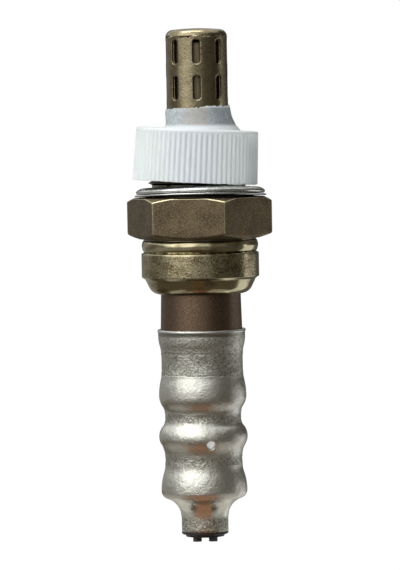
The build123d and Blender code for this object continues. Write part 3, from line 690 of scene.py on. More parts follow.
def brown_sleeve_finish(colours):
    """Dark heat-tinted steel with faint upright streaks."""
    finish = Finish("inner_sleeve_steel", {"Metallic": 1.0})
    streaks = finish.noise(0.9 * MM, 3.0, (1, 1, 0.06))
    grain = finish.noise(0.24 * MM, 3.0)
    dark = streaks * 0.4 + finish.spread(grain, 0.35, 0.65) * 0.6
    finish.feed("Base Color", finish.mix(dark, colours.brown_sleeve, colours.brown_dark))
    finish.feed("Roughness", 0.36 + grain * 0.14)
    finish.bump(0.016 * MM, grain * 0.85 + streaks * 0.15)
    return finish.material


def sleeve_finish(colours, jaws, rim, neck_top, pressed):
    """Satin stainless sheet, roughened under the rim and marked where the jaws closed, with a painted
    highlight on the rim, a painted shadow under it and a painted warm reflection under the bulges.
    """
    finish = Finish("outer_sleeve_steel", {"Metallic": 1.0})
    height = finish.axis("Z")
    turn = finish.maths("ARCTAN2", finish.axis("Y"), finish.axis("X"))
    jaw = finish.maths("FLOOR", (turn - FACING) * (jaws / (2 * pi)) + 0.5)
    ragged = finish.noise(0.9 * MM, 2.0) * 0.26 * MM - 0.13 * MM
    stepped = height + finish.maths("SINE", jaw * 2.3) * 0.11 * MM + ragged
    mottle = finish.spread(finish.noise(0.36 * MM, 3.0), 0.4, 0.64)
    grain = finish.spread(finish.noise(0.22 * MM, 3.0), 0.3, 0.7)
    cloud = finish.noise(2.0 * MM, 4.0)
    zone = finish.imprint(height, rim - 1.15 * MM, pressed[0][0])
    # Painted shadow band under the rim, and a painted highlight on the rim's lip above it
    rim_shadow = finish.imprint(height, rim - 0.45 * MM, rim - 1.1 * MM)
    rim_highlight = finish.spread(height, rim - 0.5 * MM, rim - 0.4 * MM)
    ledge = finish.imprint(stepped, *pressed[0])
    marks = ledge
    for top, foot in pressed[1:]:
        marks = marks + finish.imprint(stepped, top, foot)
    neck = 1 - finish.spread(height, neck_top - 0.2 * MM, neck_top + 0.4 * MM)
    worn = zone * mottle * 0.7 + marks * (0.2 + mottle * 0.7) + neck * (0.3 + mottle * 0.7)
    base = finish.mix(grain * 0.6 + cloud * 0.2, colours.sleeve, colours.sleeve_rough)
    base = finish.mix(worn + rim_shadow * 0.8, base, colours.sleeve_dark)
    base = finish.mix(rim_highlight, base, colours.gasket)
    # Painted warm reflection on the downward faces of the bulges
    down = finish.spread(0 - finish.facing_up(), 0.15, 0.6)
    finish.feed("Base Color", finish.mix(down * cloud * 0.2, base, colours.sleeve_warm_reflection))
    throat = finish.imprint(height, neck_top + 3.4 * MM, neck_top + 0.3 * MM)
    dull = zone * (0.02 + mottle * 0.1) + marks * (0.08 + mottle * 0.06) + neck * 0.14 - throat * 0.06
    finish.feed("Roughness", 0.29 + cloud * 0.05 + grain * 0.08 + dull)
    dents = finish.spread(finish.noise(1.3 * MM, 2.0), 0.35, 0.65) * (1 - zone) * 0.9
    relief = mottle * (0.12 + zone * 0.75 + neck * 0.7) + marks * (mottle * 0.6 - 0.5)
    relief = relief + grain * (0.55 - throat * 0.4)
    finish.bump(0.03 * MM, relief - ledge * 1.2 + dents)
    return finish.material


def matt_finish(name, shade, darker, size, roughness, depth, metallic=0.0):
    """Plain finish with clouded colour and a fine uneven surface."""
    finish = Finish(name, {"Metallic": metallic})
    cloud = finish.noise(size, 4.0)
    fine = finish.noise(size / 12, 3.0)
    finish.feed("Base Color", finish.mix(cloud * 0.8 + fine * 0.2, shade, darker))
    finish.feed("Roughness", roughness + fine * 0.12)
    finish.bump(depth, fine)
    return finish.material


def dimmed(shade, share):
    """A darker version of a colour."""
    return [channel * share for channel in shade]


def dress(node, material, slot):
    """Give a CAD node its finish."""
    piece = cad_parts[node]
    piece.material_slots[0].material = material


# Pieces


class OXS_OT_protector(bpy.types.Operator):
    """Build the slotted tube over the sensing tip, and finish the tube inside it"""

    bl_idname = "oxs.protector"
    bl_label = "Protection tubes"

    # Height of the plain foot over the flange, and the crown's share of the end's bend in degrees
    foot_rise = 1.4 * MM
    crown_turn = 6
    # Columns of the wall's grid from slot to slot, and the width and height of the cell for a slot
    pitch_columns = 16
    cell_columns = 12
    cell_rows = 14

    def execute(self, context):
        sizes = context.scene.oxs_protector
        colours = context.scene.oxs_colours
        low, tip = (corner.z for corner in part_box("outer_protector"))
        flange_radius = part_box("outer_protector")[1].x
        crown_turn = self.crown_turn
        crown_drop = sizes.crown_radius * (1 - cos(radians(crown_turn)))
        side_top = tip - crown_drop - sizes.corner * cos(radians(crown_turn))
        columns = self.pitch_columns * sizes.slots
        cell_half = (sizes.slot_length + sizes.slot_width) / 2
        foot = low + self.foot_rise
        levels = [foot, (foot + tip) / 2 - 5 * MM]
        openings = []
        top_row = tip - sizes.slot_drop
        for middle in (top_row - sizes.slot_pitch, top_row):
            for slot in range(sizes.slots):
                openings.append(
                    Opening(
                        column=self.pitch_columns * slot - self.cell_columns // 2,
                        row=len(levels),
                        columns=self.cell_columns,
                        rows=self.cell_rows,
                        angle=FACING + 2 * pi * slot / sizes.slots,
                        level=middle,
                        half_run=(sizes.slot_length - sizes.slot_width) / 2,
                        radius=sizes.slot_width / 2,
                        end_turn=pi / 2,
                    )
                )
            levels += span(middle - cell_half, middle + cell_half, self.cell_rows)
        levels.append(side_top)

        def place(angle, level, depth):
            """Point on the tube's side."""
            return polar(sizes.radius - depth, angle, level)

        skin = Skin()
        outside, inside = pierced_wall(
            skin, FACING, columns, levels, place, sizes.wall, openings, sizes.slot_edge
        )
        angles = [FACING + 2 * pi * column / columns for column in range(columns)]
        for side, depth in ((outside, 0), (inside, sizes.wall)):
            corner = arc((sizes.radius - sizes.corner, side_top), sizes.corner - depth, 0, 90 - crown_turn, 8)
            crown = arc((0, tip - sizes.crown_radius), sizes.crown_radius - depth, 90 - crown_turn, 90, 8)
            rows = corner[1:] + crown[1:-1]
            rings = skin.chain(side[-1], *([polar(r, angle, z) for angle in angles] for r, z in rows))
            skin.lid(rings[-1], tip - depth)
        skirt = rounded(
            (sizes.radius, foot - 0.3 * MM, 0),
            (sizes.radius, low + sizes.wall, 0.3 * MM),
            (flange_radius, low + sizes.wall, 0.05 * MM),
            (flange_radius, low, 0.05 * MM),
            (sizes.radius - sizes.wall, low, 0.3 * MM),
            (sizes.radius - sizes.wall, foot - 0.3 * MM, 0),
        )
        skin.chain(outside[0], *([polar(r, angle, z) for angle in angles] for r, z in skirt), inside[0])
        skin.piece("slotted_tube", tube_finish(colours), "tube_steel", "outer_protector")
        dress("inner_protector", inner_tube_finish(colours), "inner_tube_steel")
        return {"FINISHED"}


class OXS_OT_cap(bpy.types.Operator):
    """Build the ribbed transit cap with its thin collar, tipped as it sits on the thread"""

    bl_idname = "oxs.cap"
    bl_label = "Transit cap"

    # The collar, from its foot up: height, sideways shift, lean and slack round the tube
    stations = [height * MM for height in (0, 0.7, 1.9, 3.0, 3.85)]
    shifts = [shift * MM for shift in (0.82, 0.52, 0.2, 0.08, 0.0)]
    leans = [radians(lean) for lean in (3.4, 1.7, 0.0, 0.0, -2.6)]
    slacks = [slack * MM for slack in (1.06, 0.56, 0.24, 0.16, 0.02)]
    # Gap to the thread and the tube, and the cap's shift to the side
    play = 0.03 * MM
    aside = -0.15 * MM
    # Ribs: their turn, columns of the mesh for each, how narrow their crest is, and their run-in
    rib_turn = radians(0.8)
    rib_columns = 10
    rib_crest = 1.7
    rib_start = 0.45 * MM
    # Skirt at its mouth: its wall, the taper of its bore, and the burr of the moulding
    skirt_wall = 0.89 * MM
    bore_taper = 0.33 * MM
    mouth_burr = 0.09 * MM

    def execute(self, context):
        sizes = context.scene.oxs_cap
        shell = context.scene.oxs_shell
        tube = context.scene.oxs_protector
        colours = context.scene.oxs_colours
        side = polar(1, SIDEWAYS, 0)
        up = Vector((side.x * sin(sizes.tilt), side.y * sin(sizes.tilt), cos(sizes.tilt)))
        across = Vector((side.x * cos(sizes.tilt), side.y * cos(sizes.tilt), -sin(sizes.tilt)))
        depth = up.cross(across)
        thread_end_radius = shell.thread_radius - THREAD_BEVEL
        rest = shell.thread_length + thread_end_radius * tan(sizes.tilt) + self.play
        top = side * self.aside + Vector((0, 0, rest)) + up * sizes.shelf
        grip = tube.radius + self.play + sizes.collar_wall
        count = self.rib_columns * sizes.ribs
        turns = [2 * pi * column / count for column in range(count)]

        def skirt_row(radius, height, ribbed=0.0, flaw=0.0):
            """Row round the skirt, in the cap's own frame."""
            row = []
            for turn in turns:
                furrow = (0.5 + 0.5 * cos(sizes.ribs * (turn + pi / 2 - self.rib_turn))) ** self.rib_crest
                burr = noise.noise(Vector((9 * cos(turn), 9 * sin(turn), 3.0))) * flaw
                reach = radius - sizes.rib_depth * furrow * ribbed
                row.append(top + (across * cos(turn) + depth * sin(turn)) * reach + up * (height + burr))
            return row

        def collar_row(station, inset):
            """Row round the collar, at a height over the cap's top."""
            row = []
            share = station / self.stations[-1]
            shift = smooth_curve(self.stations, self.shifts, station)
            lean = smooth_curve(self.stations, self.leans, station)
            radius = grip + smooth_curve(self.stations, self.slacks, station) - inset
            outward = Vector((side.x * cos(lean), side.y * cos(lean), -sin(lean)))
            centre = side * shift + Vector((0, 0, top.z + station))
            back = Vector((-side.y, side.x, 0))
            for turn in turns:
                right = 0.5 + 0.5 * cos(turn)
                wave = sin(5 * turn + 0.6) * 0.4 + sin(11 * turn + 2.0) * 0.25 + sin(23 * turn) * 0.1
                tear = noise.noise(Vector((14 * cos(turn), 14 * sin(turn), 0))) * 0.3
                ragged = (wave * 0.3 + tear * 1.5 - 0.34) * 0.5 * MM * share ** 3
                fold = sin(17 * turn + 5 * share) * 0.05 * MM * right ** 3 * sin(pi * min(share * 1.2, 1))
                reach = radius + fold + wave * 0.05 * MM * share * (1 - share)
                row.append(centre + (outward * cos(turn) + back * sin(turn)) * reach + Vector((0, 0, ragged)))
            return row

        def crown_row(share):
            """Row on the flat top, from the collar's foot to the rounded edge."""
            foot = collar_row(0, 0)
            edge = skirt_row(sizes.top_radius - sizes.edge_round, 0)
            return [inner.lerp(outer, share) for inner, outer in zip(foot, edge)]

        rows = [collar_row(station, 0) for station in reversed(span(0, self.stations[-1], 26)[1:])]
        rows += [crown_row(share) for share in (0.0, 0.06, 0.2, 0.6, 1.0)]
        edge_centre = (sizes.top_radius - sizes.edge_round, -sizes.edge_round)
        rows += [skirt_row(r, z) for r, z in arc(edge_centre, sizes.edge_round, 90, 0, 8)[1:]]
        slope = (sizes.mouth_radius - sizes.top_radius) / (sizes.height - sizes.rib_drop)
        falls = [(share * self.rib_start, ease(0, 1, share)) for share in span(0, 1, 5)]
        run = sizes.height - sizes.rib_drop - 0.7 * MM
        falls += [(self.rib_start + share * run, 1.0) for share in (0.3, 0.6, 0.85)]
        for fall, ribbed in falls:
            rows.append(skirt_row(sizes.top_radius + slope * fall, -sizes.rib_drop - fall, ribbed))
        bore_mouth = sizes.mouth_radius - self.skirt_wall
        bore_top = bore_mouth - self.bore_taper
        mouth = rounded(
            (sizes.mouth_radius - 0.01 * MM, 0.5 * MM - sizes.height, 0),
            (sizes.mouth_radius, -sizes.height, 0.18 * MM),
            (bore_mouth, -sizes.height, 0.12 * MM),
            (bore_mouth - 0.02 * MM, 0.6 * MM - sizes.height, 0),
        )
        for index, (radius, height) in enumerate(mouth):
            ribbed = ease(len(mouth) * 0.62, len(mouth) * 0.45, index)
            rows.append(skirt_row(radius, height, ribbed, self.mouth_burr * ribbed))
        rows += [skirt_row(bore_top, height * MM - sizes.shelf) for height in (-1.5, -0.1)]
        foot_inside = collar_row(0.0, sizes.collar_wall)
        ceiling = zip(skirt_row(bore_top, -sizes.shelf), foot_inside)
        rows.append([point.lerp(inner, 0.1) - up * 0.05 * MM for point, inner in ceiling])
        rows.append([point - up * sizes.shelf for point in foot_inside])
        rows += [collar_row(station, sizes.collar_wall) for station in span(0, self.stations[-1], 12)]
        skin = Skin()
        skin.tube(rows, closed=True)
        skin.piece("transit_cap", cap_finish(colours, top.z), "cap_plastic", "thread_cap")
        return {"FINISHED"}


class OXS_OT_gasket(bpy.types.Operator):
    """Build the folded crush gasket that lies loose in the thread's relief"""

    bl_idname = "oxs.gasket"
    bl_label = "Crush gasket"

    # Lean and shift of the ring, its outer radius, and the strip's thickness
    tilt = radians(1.7)
    shift = 0.25 * MM
    outer_radius = 11.25 * MM
    sheet = 0.28 * MM
    # Share of the thickness that the strip's edges bulge by, its sag at the sides, and its waves
    edge_share = 0.28
    sag = 0.2 * MM
    waves = 0.06 * MM

    def line(self):
        """Middle of the folded strip, from its top ply's inner edge to the lip."""
        inner_edge, bend_start, inner_turn, lip = 8.95, 9.62, 9.15, 11.16
        bend, bend_turn, fold, turn = 1.8, 42, 0.205, 0.2
        top, middle, low = 1.36, 0.54, 0.14
        fold_centre = (
            bend_start + (bend - fold) * sin(radians(bend_turn)),
            top - bend + (bend - fold) * cos(radians(bend_turn)),
        )
        points = [(inner_edge, top), (9.3, top)]
        points += arc((bend_start, top - bend), bend, 90, 90 - bend_turn, 10)
        points += arc(fold_centre, fold, 90 - bend_turn, -90, 10)[1:]
        points += arc((inner_turn, middle - turn), turn, 90, 270, 8)
        points += [(10.45, low), (10.9, low), (lip, low)]
        return [Vector(point) * MM for point in points]

    def execute(self, context):
        side = polar(1, SIDEWAYS, 0)
        up = polar(-sin(self.tilt), FACING, cos(self.tilt))
        back = up.cross(side)
        centre = side * self.shift + Vector((0, 0, self.outer_radius * sin(self.tilt)))
        points = self.line()
        left, right = [], []
        for index, point in enumerate(points):
            along = points[min(index + 1, len(points) - 1)] - points[max(index - 1, 0)]
            offset = along.orthogonal().normalized() * self.sheet / 2
            left.append(point + offset)
            right.append(point - offset)
        end = (points[-1] - points[-2]).normalized() * self.sheet * self.edge_share
        start = (points[0] - points[1]).normalized() * self.sheet * self.edge_share
        outline = left + [left[-1].lerp(right[-1], share) + end for share in (0.25, 0.75)]
        outline += list(reversed(right)) + [right[0].lerp(left[0], share) + start for share in (0.25, 0.75)]
        count = 160
        rows = []
        for radius, height in outline:
            row = []
            for turn in span(0, 2 * pi, count)[1:]:
                lip = ease(10.3 * MM, 11.2 * MM, radius) * ease(0.4 * MM, 0.2 * MM, height)
                wave = abs(noise.noise(Vector((3 * cos(turn), 3 * sin(turn), 1.0)))) * self.waves * lip
                sag = self.sag * cos(turn) ** 2
                outward = side * cos(turn) + back * sin(turn)
                row.append(centre + outward * (radius - wave) + up * (height + wave - sag))
            rows.append(row)
        skin = Skin()
        skin.tube(rows, closed=True)
        skin.piece("crush_gasket", gasket_finish(context.scene.oxs_colours), "gasket_steel", "gasket")
        return {"FINISHED"}


class OXS_OT_shell(bpy.types.Operator):
    """Build the steel body: thread, relief, hexagon, bead, band and rolled lip"""

    bl_idname = "oxs.shell"
    bl_label = "Steel body"

    # Slopes of the hexagon's bevels, and rise over run of the thread's run-out
    top_bevel = radians(25)
    under_bevel = radians(18)
    run_out = 0.45
    # Thread form as shares of the pitch: half its crest, a flank's run, and its depth
    crest_share = 0.0625
    flank_share = 0.3125
    depth_share = 0.6134
    # Bead under the hexagon, the groove and the band under it, and the taper that follows
    bead_radius = 9.7 * MM
    bead_top = -7.3 * MM
    bead_crown = 0.25 * MM
    groove = (9.55 * MM, -9.33 * MM)
    band_radius = 10.04 * MM
    taper_top = (9.45 * MM, -13.95 * MM)
    taper_foot = (8.8 * MM, -15.3 * MM)
    # Rolled lip
    lip_centre = (6.92 * MM, -14.43 * MM)
    lip_radius = 2.07 * MM
    # Bores from the lip up to the nose: radius and height in millimetres
    bores = (
        (6.87, -16.4), (6.87, -15.4), (6.87, -13.0), (7.95, -13.0), (7.95, -11.7), (6.3, -11.7), (6.3, 1.5),
        (4.6, 1.5), (4.6, 8.6), (6.35, 8.6), (6.35, 9.3), (5.25, 9.3), (5.25, 10.15),
    )

    def hexagon_columns(self, sizes):
        """Angles round the hexagon, each with the hexagon's own radius there."""
        flat = sizes.across_flats / 2
        half_run = (flat - sizes.corner_radius) * tan(radians(30))
        corner = (flat - sizes.corner_radius) / cos(radians(30))
        columns = []
        for face in range(6):
            start = radians(60 * face - 90)
            for along in span(-half_run, half_run, 16):
                columns.append((start + atan2(along, flat), sqrt(flat ** 2 + along ** 2)))
            for turn in (12, 24, 36, 48):
                x = corner * cos(radians(30)) + sizes.corner_radius * cos(radians(turn))
                y = corner * sin(radians(30)) + sizes.corner_radius * sin(radians(turn))
                columns.append((start + atan2(y, x), sqrt(x ** 2 + y ** 2)))
        return columns

    def thread_radius(self, sizes, angle, height):
        """Radius of the threaded stretch, with its end bevel and its run-out into the relief."""
        phase = height / sizes.thread_pitch - angle / (2 * pi)
        off_crest = abs(phase - round(phase))
        down_flank = min(max((off_crest - self.crest_share) / self.flank_share, 0.0), 1.0)
        depth = self.depth_share * sizes.thread_pitch * down_flank
        bevel = sizes.thread_radius - THREAD_BEVEL + sizes.thread_length - height
        run_out = sizes.relief_radius + (height - sizes.relief_width) / self.run_out
        return min(sizes.thread_radius - depth, bevel, run_out)

    def outline(self, sizes, angle, hexagon):
        """Half section at one angle, from the thread's end down the outside and back up the bores."""
        bevel_inner = min(sizes.top_land, hexagon - sizes.edge_break)
        bevel_drop = (hexagon - bevel_inner) * tan(self.top_bevel)
        under_rise = (hexagon - sizes.under_land) * tan(self.under_bevel)
        base = -sizes.hex_height
        step = self.bead_radius - 0.1 * MM
        points = [(self.thread_radius(sizes, angle, z), z) for z in self.thread_levels(sizes)]
        points += rounded(
            (sizes.relief_radius, sizes.relief_width - 0.05 * MM, 0),
            (sizes.relief_radius, 0, 0.2 * MM),
            (bevel_inner, 0, 0.08 * MM),
            (hexagon, -bevel_drop, 0.3 * MM),
            (hexagon, base + under_rise, 0.5 * MM),
            (sizes.under_land, base, 0.25 * MM),
            (step, base, 0.08 * MM),
            (step, self.bead_top, 0.06 * MM),
            (self.bead_radius, self.bead_top, 0),
        )
        for share in span(0, 1, 12)[1:-1]:
            crown = 4 * self.bead_crown * share * (1 - share)
            points.append((self.bead_radius + crown, self.bead_top + (BEAD_FOOT - self.bead_top) * share))
        points += rounded(
            (self.bead_radius, BEAD_FOOT, 0),
            (*self.groove, 0.05 * MM),
            (self.band_radius, BAND_TOP, 0.25 * MM),
            (self.band_radius, BAND_FOOT, 0.12 * MM),
            (*self.taper_top, 0.1 * MM),
            (*self.taper_foot, 0),
        )
        points += arc(self.lip_centre, self.lip_radius, -26, -90, 12)
        points += [(r * MM, z * MM) for r, z in self.bores]
        return points

    def thread_levels(self, sizes):
        """Heights down the thread, in sixteenths of its pitch."""
        low = sizes.relief_width + 0.02 * MM
        steps = round((sizes.thread_length - low) / sizes.thread_pitch * 16)
        return span(sizes.thread_length, low, steps)

    def execute(self, context):
        sizes = context.scene.oxs_shell
        columns = self.hexagon_columns(sizes)
        sections = [self.outline(sizes, angle, hexagon) for angle, hexagon in columns]
        rows = []
        for row in zip(*sections):
            rows.append([polar(r, angle, z) for (r, z), (angle, hexagon) in zip(row, columns)])
        skin = Skin()
        skin.tube(rows, closed=True)
        finish = shell_finish(context.scene.oxs_colours, sizes)
        skin.piece("threaded_body", finish, "shell_steel", "hex_shell")
        return {"FINISHED"}


class OXS_OT_inner_sleeve(bpy.types.Operator):
    """Finish the dark inner sleeve"""

    bl_idname = "oxs.inner_sleeve"
    bl_label = "Inner sleeve"

    def execute(self, context):
        dress("inner_sleeve", brown_sleeve_finish(context.scene.oxs_colours), "inner_sleeve_steel")
        return {"FINISHED"}


class OXS_OT_outer_sleeve(bpy.types.Operator):
    """Build the outer sleeve with its bulges, its eight-jaw crimps and its breather holes"""

    bl_idname = "oxs.outer_sleeve"
    bl_label = "Outer sleeve"

    # The rim's lip and the straight stretch under it: radius and depth, in millimetres as all these are
    rim_line = ((7.44, 0), (7.54, 0.1), (7.55, 0.4), (7.44, 0.55), (7.44, 1.15))
    # Each crimp: its radius, the fall to it from above, its height, and the run down to the next bulge
    crimps = ((6.96, 3.4, 2.7, 4.1), (6.5, 3.1, 1.1, 2.8), (6.58, 3.6, 0.7, 5.0))
    bulges = (7.48, 7.58, 7.36)
    # Reach of the jaws' imprint over and under each crimp
    imprints = ((0.75, 0.55), (0.05, 0.2), (0.45, 0.4))
    # The neck's radius and height
    neck = (4.0, 2.35)
    # Share that the first arc takes of each bend: into a crimp, out of it, and into the neck
    fall_shares = (0.5, 0.6, 0.4)
    rise_shares = (0.3, 0.35, 0.4)
    neck_share = 0.288
    # Jaws: slope of their flare and of their sides, flatness of a face, and a radius that none presses
    flare_slope = tan(radians(32))
    side_slope = 4
    flatness = 4
    clear = 1.0
    # Softness of the marks, the height over which a ridge fades, and the sheet's own waves
    softness = 0.05 * MM
    ridge_fade = 1.5 * MM
    wave_depth = 0.02 * MM
    wave_size = 3 * MM
    # Breather holes: how many, their turn from the front, and the round on their edges
    holes = 4
    hole_turn = radians(10)
    hole_edge = 0.08 * MM
    # Columns of the wall's grid, and the width and height of the cell that a hole is cut in
    columns = 256
    cell = 12

    def half_section(self, rim):
        """Outline from the rim to the neck's foot, the bands that the jaws close on, and the bulges."""
        points = [(radius * MM, rim - drop * MM) for radius, drop in self.rim_line]
        bands = []
        levels = []
        for index, (radius, fall, height, rise) in enumerate(self.crimps):
            top = (radius * MM, points[-1][1] - fall * MM)
            foot = (radius * MM, top[1] - height * MM)
            bulge = (self.bulges[index] * MM, foot[1] - rise * MM)
            points += s_bend(points[-1], top, self.fall_shares[index])
            points.append(foot)
            points += s_bend(foot, bulge, self.rise_shares[index])
            bands.append((radius * MM, top[1], foot[1]))
            levels.append(bulge[1])
        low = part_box("outer_sleeve")[0].z
        neck_radius, neck_height = (value * MM for value in self.neck)
        neck_top = (neck_radius, low + neck_height)
        points += s_bend(points[-1], neck_top, self.neck_share, 16)
        points += [(neck_radius, height) for height in span(neck_top[1], low, 6)[1:]]
        bands.append((neck_radius, neck_top[1], low))
        return points, bands, levels

    def jaw_radius(self, sizes, band, angle, height):
        """Reach of the closed jaws: each face is flatter than the sleeve and flares at its ends."""
        radius, top, foot = band
        beyond = max(height - top, foot - height, 0.0)
        if beyond > 3 * sizes.jaw_reach:
            return self.clear
        flare = beyond * self.flare_slope + max(beyond - sizes.jaw_reach, 0) * self.side_slope
        step = 2 * pi / sizes.jaws
        off = (angle - FACING + step / 2) % step - step / 2
        shift = radius / self.flatness
        reach = radius + shift + flare
        return sqrt(reach ** 2 - (shift * sin(off)) ** 2) - shift * cos(off)

    def execute(self, context):
        sizes = context.scene.oxs_sleeve
        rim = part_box("outer_sleeve")[1].z
        points, bands, bulges = self.half_section(rim)
        wall_line = Wall(points)
        breather = bulges[1] - sizes.breather_drop
        start = FACING + self.hole_turn
        count, cell = self.columns, self.cell
        cell_half = 1.5 * sizes.breather_radius

        def place(angle, level, depth):
            """Point on the sleeve's wall, pressed in by the jaws."""
            radius = wall_line.radius(level)
            pressed = min(self.jaw_radius(sizes, band, angle, level) for band in bands)
            ridge = sizes.jaw_ridge * ease(self.ridge_fade, 0.0, self.off_bands(bands, level))
            base = min(soft_least(radius + sizes.jaw_ridge, pressed, self.softness), radius + ridge)
            wave = noise.noise(Vector((cos(angle), sin(angle), level / self.wave_size))) * self.wave_depth
            step = 0.05 * MM
            steep = (wall_line.radius(level + step) - wall_line.radius(level - step)) / (2 * step)
            normal = Vector((1, -steep)).normalized()
            return polar(base + wave - depth * normal.x, angle, level - depth * normal.y)

        levels = sorted(height for radius, height in points)
        levels = [level for level in levels if abs(level - breather) > cell_half + 0.1 * MM]
        row = bisect_left(levels, breather)
        levels[row:row] = span(breather - cell_half, breather + cell_half, cell)
        openings = []
        for hole in range(self.holes):
            openings.append(
                Opening(
                    column=count // self.holes * hole - cell // 2,
                    row=row,
                    columns=cell,
                    rows=cell,
                    angle=start + 2 * pi * hole / self.holes,
                    level=breather,
                    half_run=0.0,
                    radius=sizes.breather_radius,
                    end_turn=pi / 4,
                )
            )
        skin = Skin()
        outside, inside = pierced_wall(
            skin, start, count, levels, place, sizes.wall, openings, self.hole_edge
        )
        skin.join(outside[-1], inside[-1])
        skin.join(outside[0], inside[0])
        pressed = []
        for (radius, top, foot), (over, under) in zip(bands, self.imprints):
            pressed.append((top + over * MM, foot - under * MM))
        finish = sleeve_finish(context.scene.oxs_colours, sizes.jaws, rim, bands[-1][1], pressed)
        skin.piece("crimped_sleeve", finish, "outer_sleeve_steel", "outer_sleeve")
        return {"FINISHED"}

    def off_bands(self, bands, level):
        """Distance from a level to the nearest crimp."""
        return min(max(level - top, foot - level, 0.0) for _, top, foot in bands)


class OXS_OT_leads(bpy.types.Operator):
    """Finish the rubber grommet and build the cut ends of the four leads with their strands"""

    bl_idname = "oxs.leads"
    bl_label = "Leads"

    # Strands: how many lie round the middle one, how many fit across, their sides and tightness, and
    # the height of one full twist
    around = 6
    across = 3
    sides = 8
    tightness = 0.98
    twist = 9 * MM

    def execute(self, context):
        colours = context.scene.oxs_colours
        rubber = matt_finish(
            "grommet_rubber", colours.rubber, dimmed(colours.rubber, 0.6), 1.5 * MM, 0.5, 0.02 * MM
        )
        dress("grommet", rubber, "grommet_rubber")
        sheath = matt_finish(
            "lead_insulation", colours.insulation, dimmed(colours.insulation, 0.6), 1.0 * MM, 0.38, 0.01 * MM
        )
        copper = matt_finish(
            "copper", colours.strands, dimmed(colours.strands, 0.55), 0.6 * MM, 0.28, 0.004 * MM, 1.0
        )
        for name in ("signal_{}", "ground_{}", "heater_{}_a", "heater_{}_b"):
            dress(name.format("lead"), sheath, "lead_insulation")
            self.strands(name.format("core"), copper)
        return {"FINISHED"}

    def strands(self, node, material):
        """Lay twisted strands where a solid core stands."""
        low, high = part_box(node)
        centre = (low + high) / 2
        radius = (high.x - low.x) / (2 * self.across) * self.tightness
        circle = [2 * pi * side / self.sides for side in range(self.sides)]
        skin = Skin()
        for place in range(self.around + 1):
            orbit = 0.0 if place == 0 else 2 * radius
            rows = []
            for height in span(low.z, high.z, 24):
                turn = 2 * pi * (place / self.around + (height - low.z) / self.twist)
                middle = Vector((centre.x, centre.y, 0)) + polar(orbit, turn, 0)
                rows.append([middle + polar(radius, angle, height) for angle in circle])
            rings = skin.tube(rows)
            for ring in (rings[0], rings[-1]):
                skin.form.faces.new(ring)
        skin.piece(node + "_strands", material, "copper", node)


class OXS_OT_inner_works(bpy.types.Operator):
    """Finish the pieces inside: ceramics, packing, filter and terminals"""

    bl_idname = "oxs.inner_works"
    bl_label = "Inner works"

    def execute(self, context):
        pale = context.scene.oxs_colours.ceramic
        ceramics = ["heater_rod", "insulator_sleeve", "terminal_separator"]
        rings = ["seat_washer", "crimp_ring", "separator_retainer"]
        strips = ["signal_terminal", "ground_terminal", "heater_terminal_a", "heater_terminal_b"]
        # Name, shade, darker shade, size of the clouds, roughness, depth of the grain, metal, pieces
        finishes = (
            ("zirconia", pale, linear(206, 198, 180), 1.2, 0.45, 0.006, 0.0, ["ceramic_element"]),
            ("alumina", pale, linear(214, 212, 204), 2.0, 0.32, 0.004, 0.0, ceramics),
            ("talc", linear(214, 210, 200), linear(186, 180, 168), 0.8, 0.8, 0.03, 0.0, ["talc_seal"]),
            ("packing_metal", linear(150, 146, 136), linear(110, 104, 92), 1.0, 0.3, 0.004, 1.0, rings),
            ("filter_ptfe", linear(248, 248, 245), linear(238, 238, 234), 0.9, 0.6, 0.01, 0.0, ["filter"]),
            ("terminal_metal", linear(186, 178, 160), linear(150, 140, 120), 1.4, 0.24, 0.003, 1.0, strips),
        )
        for name, shade, darker, size, roughness, depth, metallic, nodes in finishes:
            material = matt_finish(name, shade, darker, size * MM, roughness, depth * MM, metallic)
            for node in nodes:
                dress(node, material, name)
        return {"FINISHED"}


# Studio


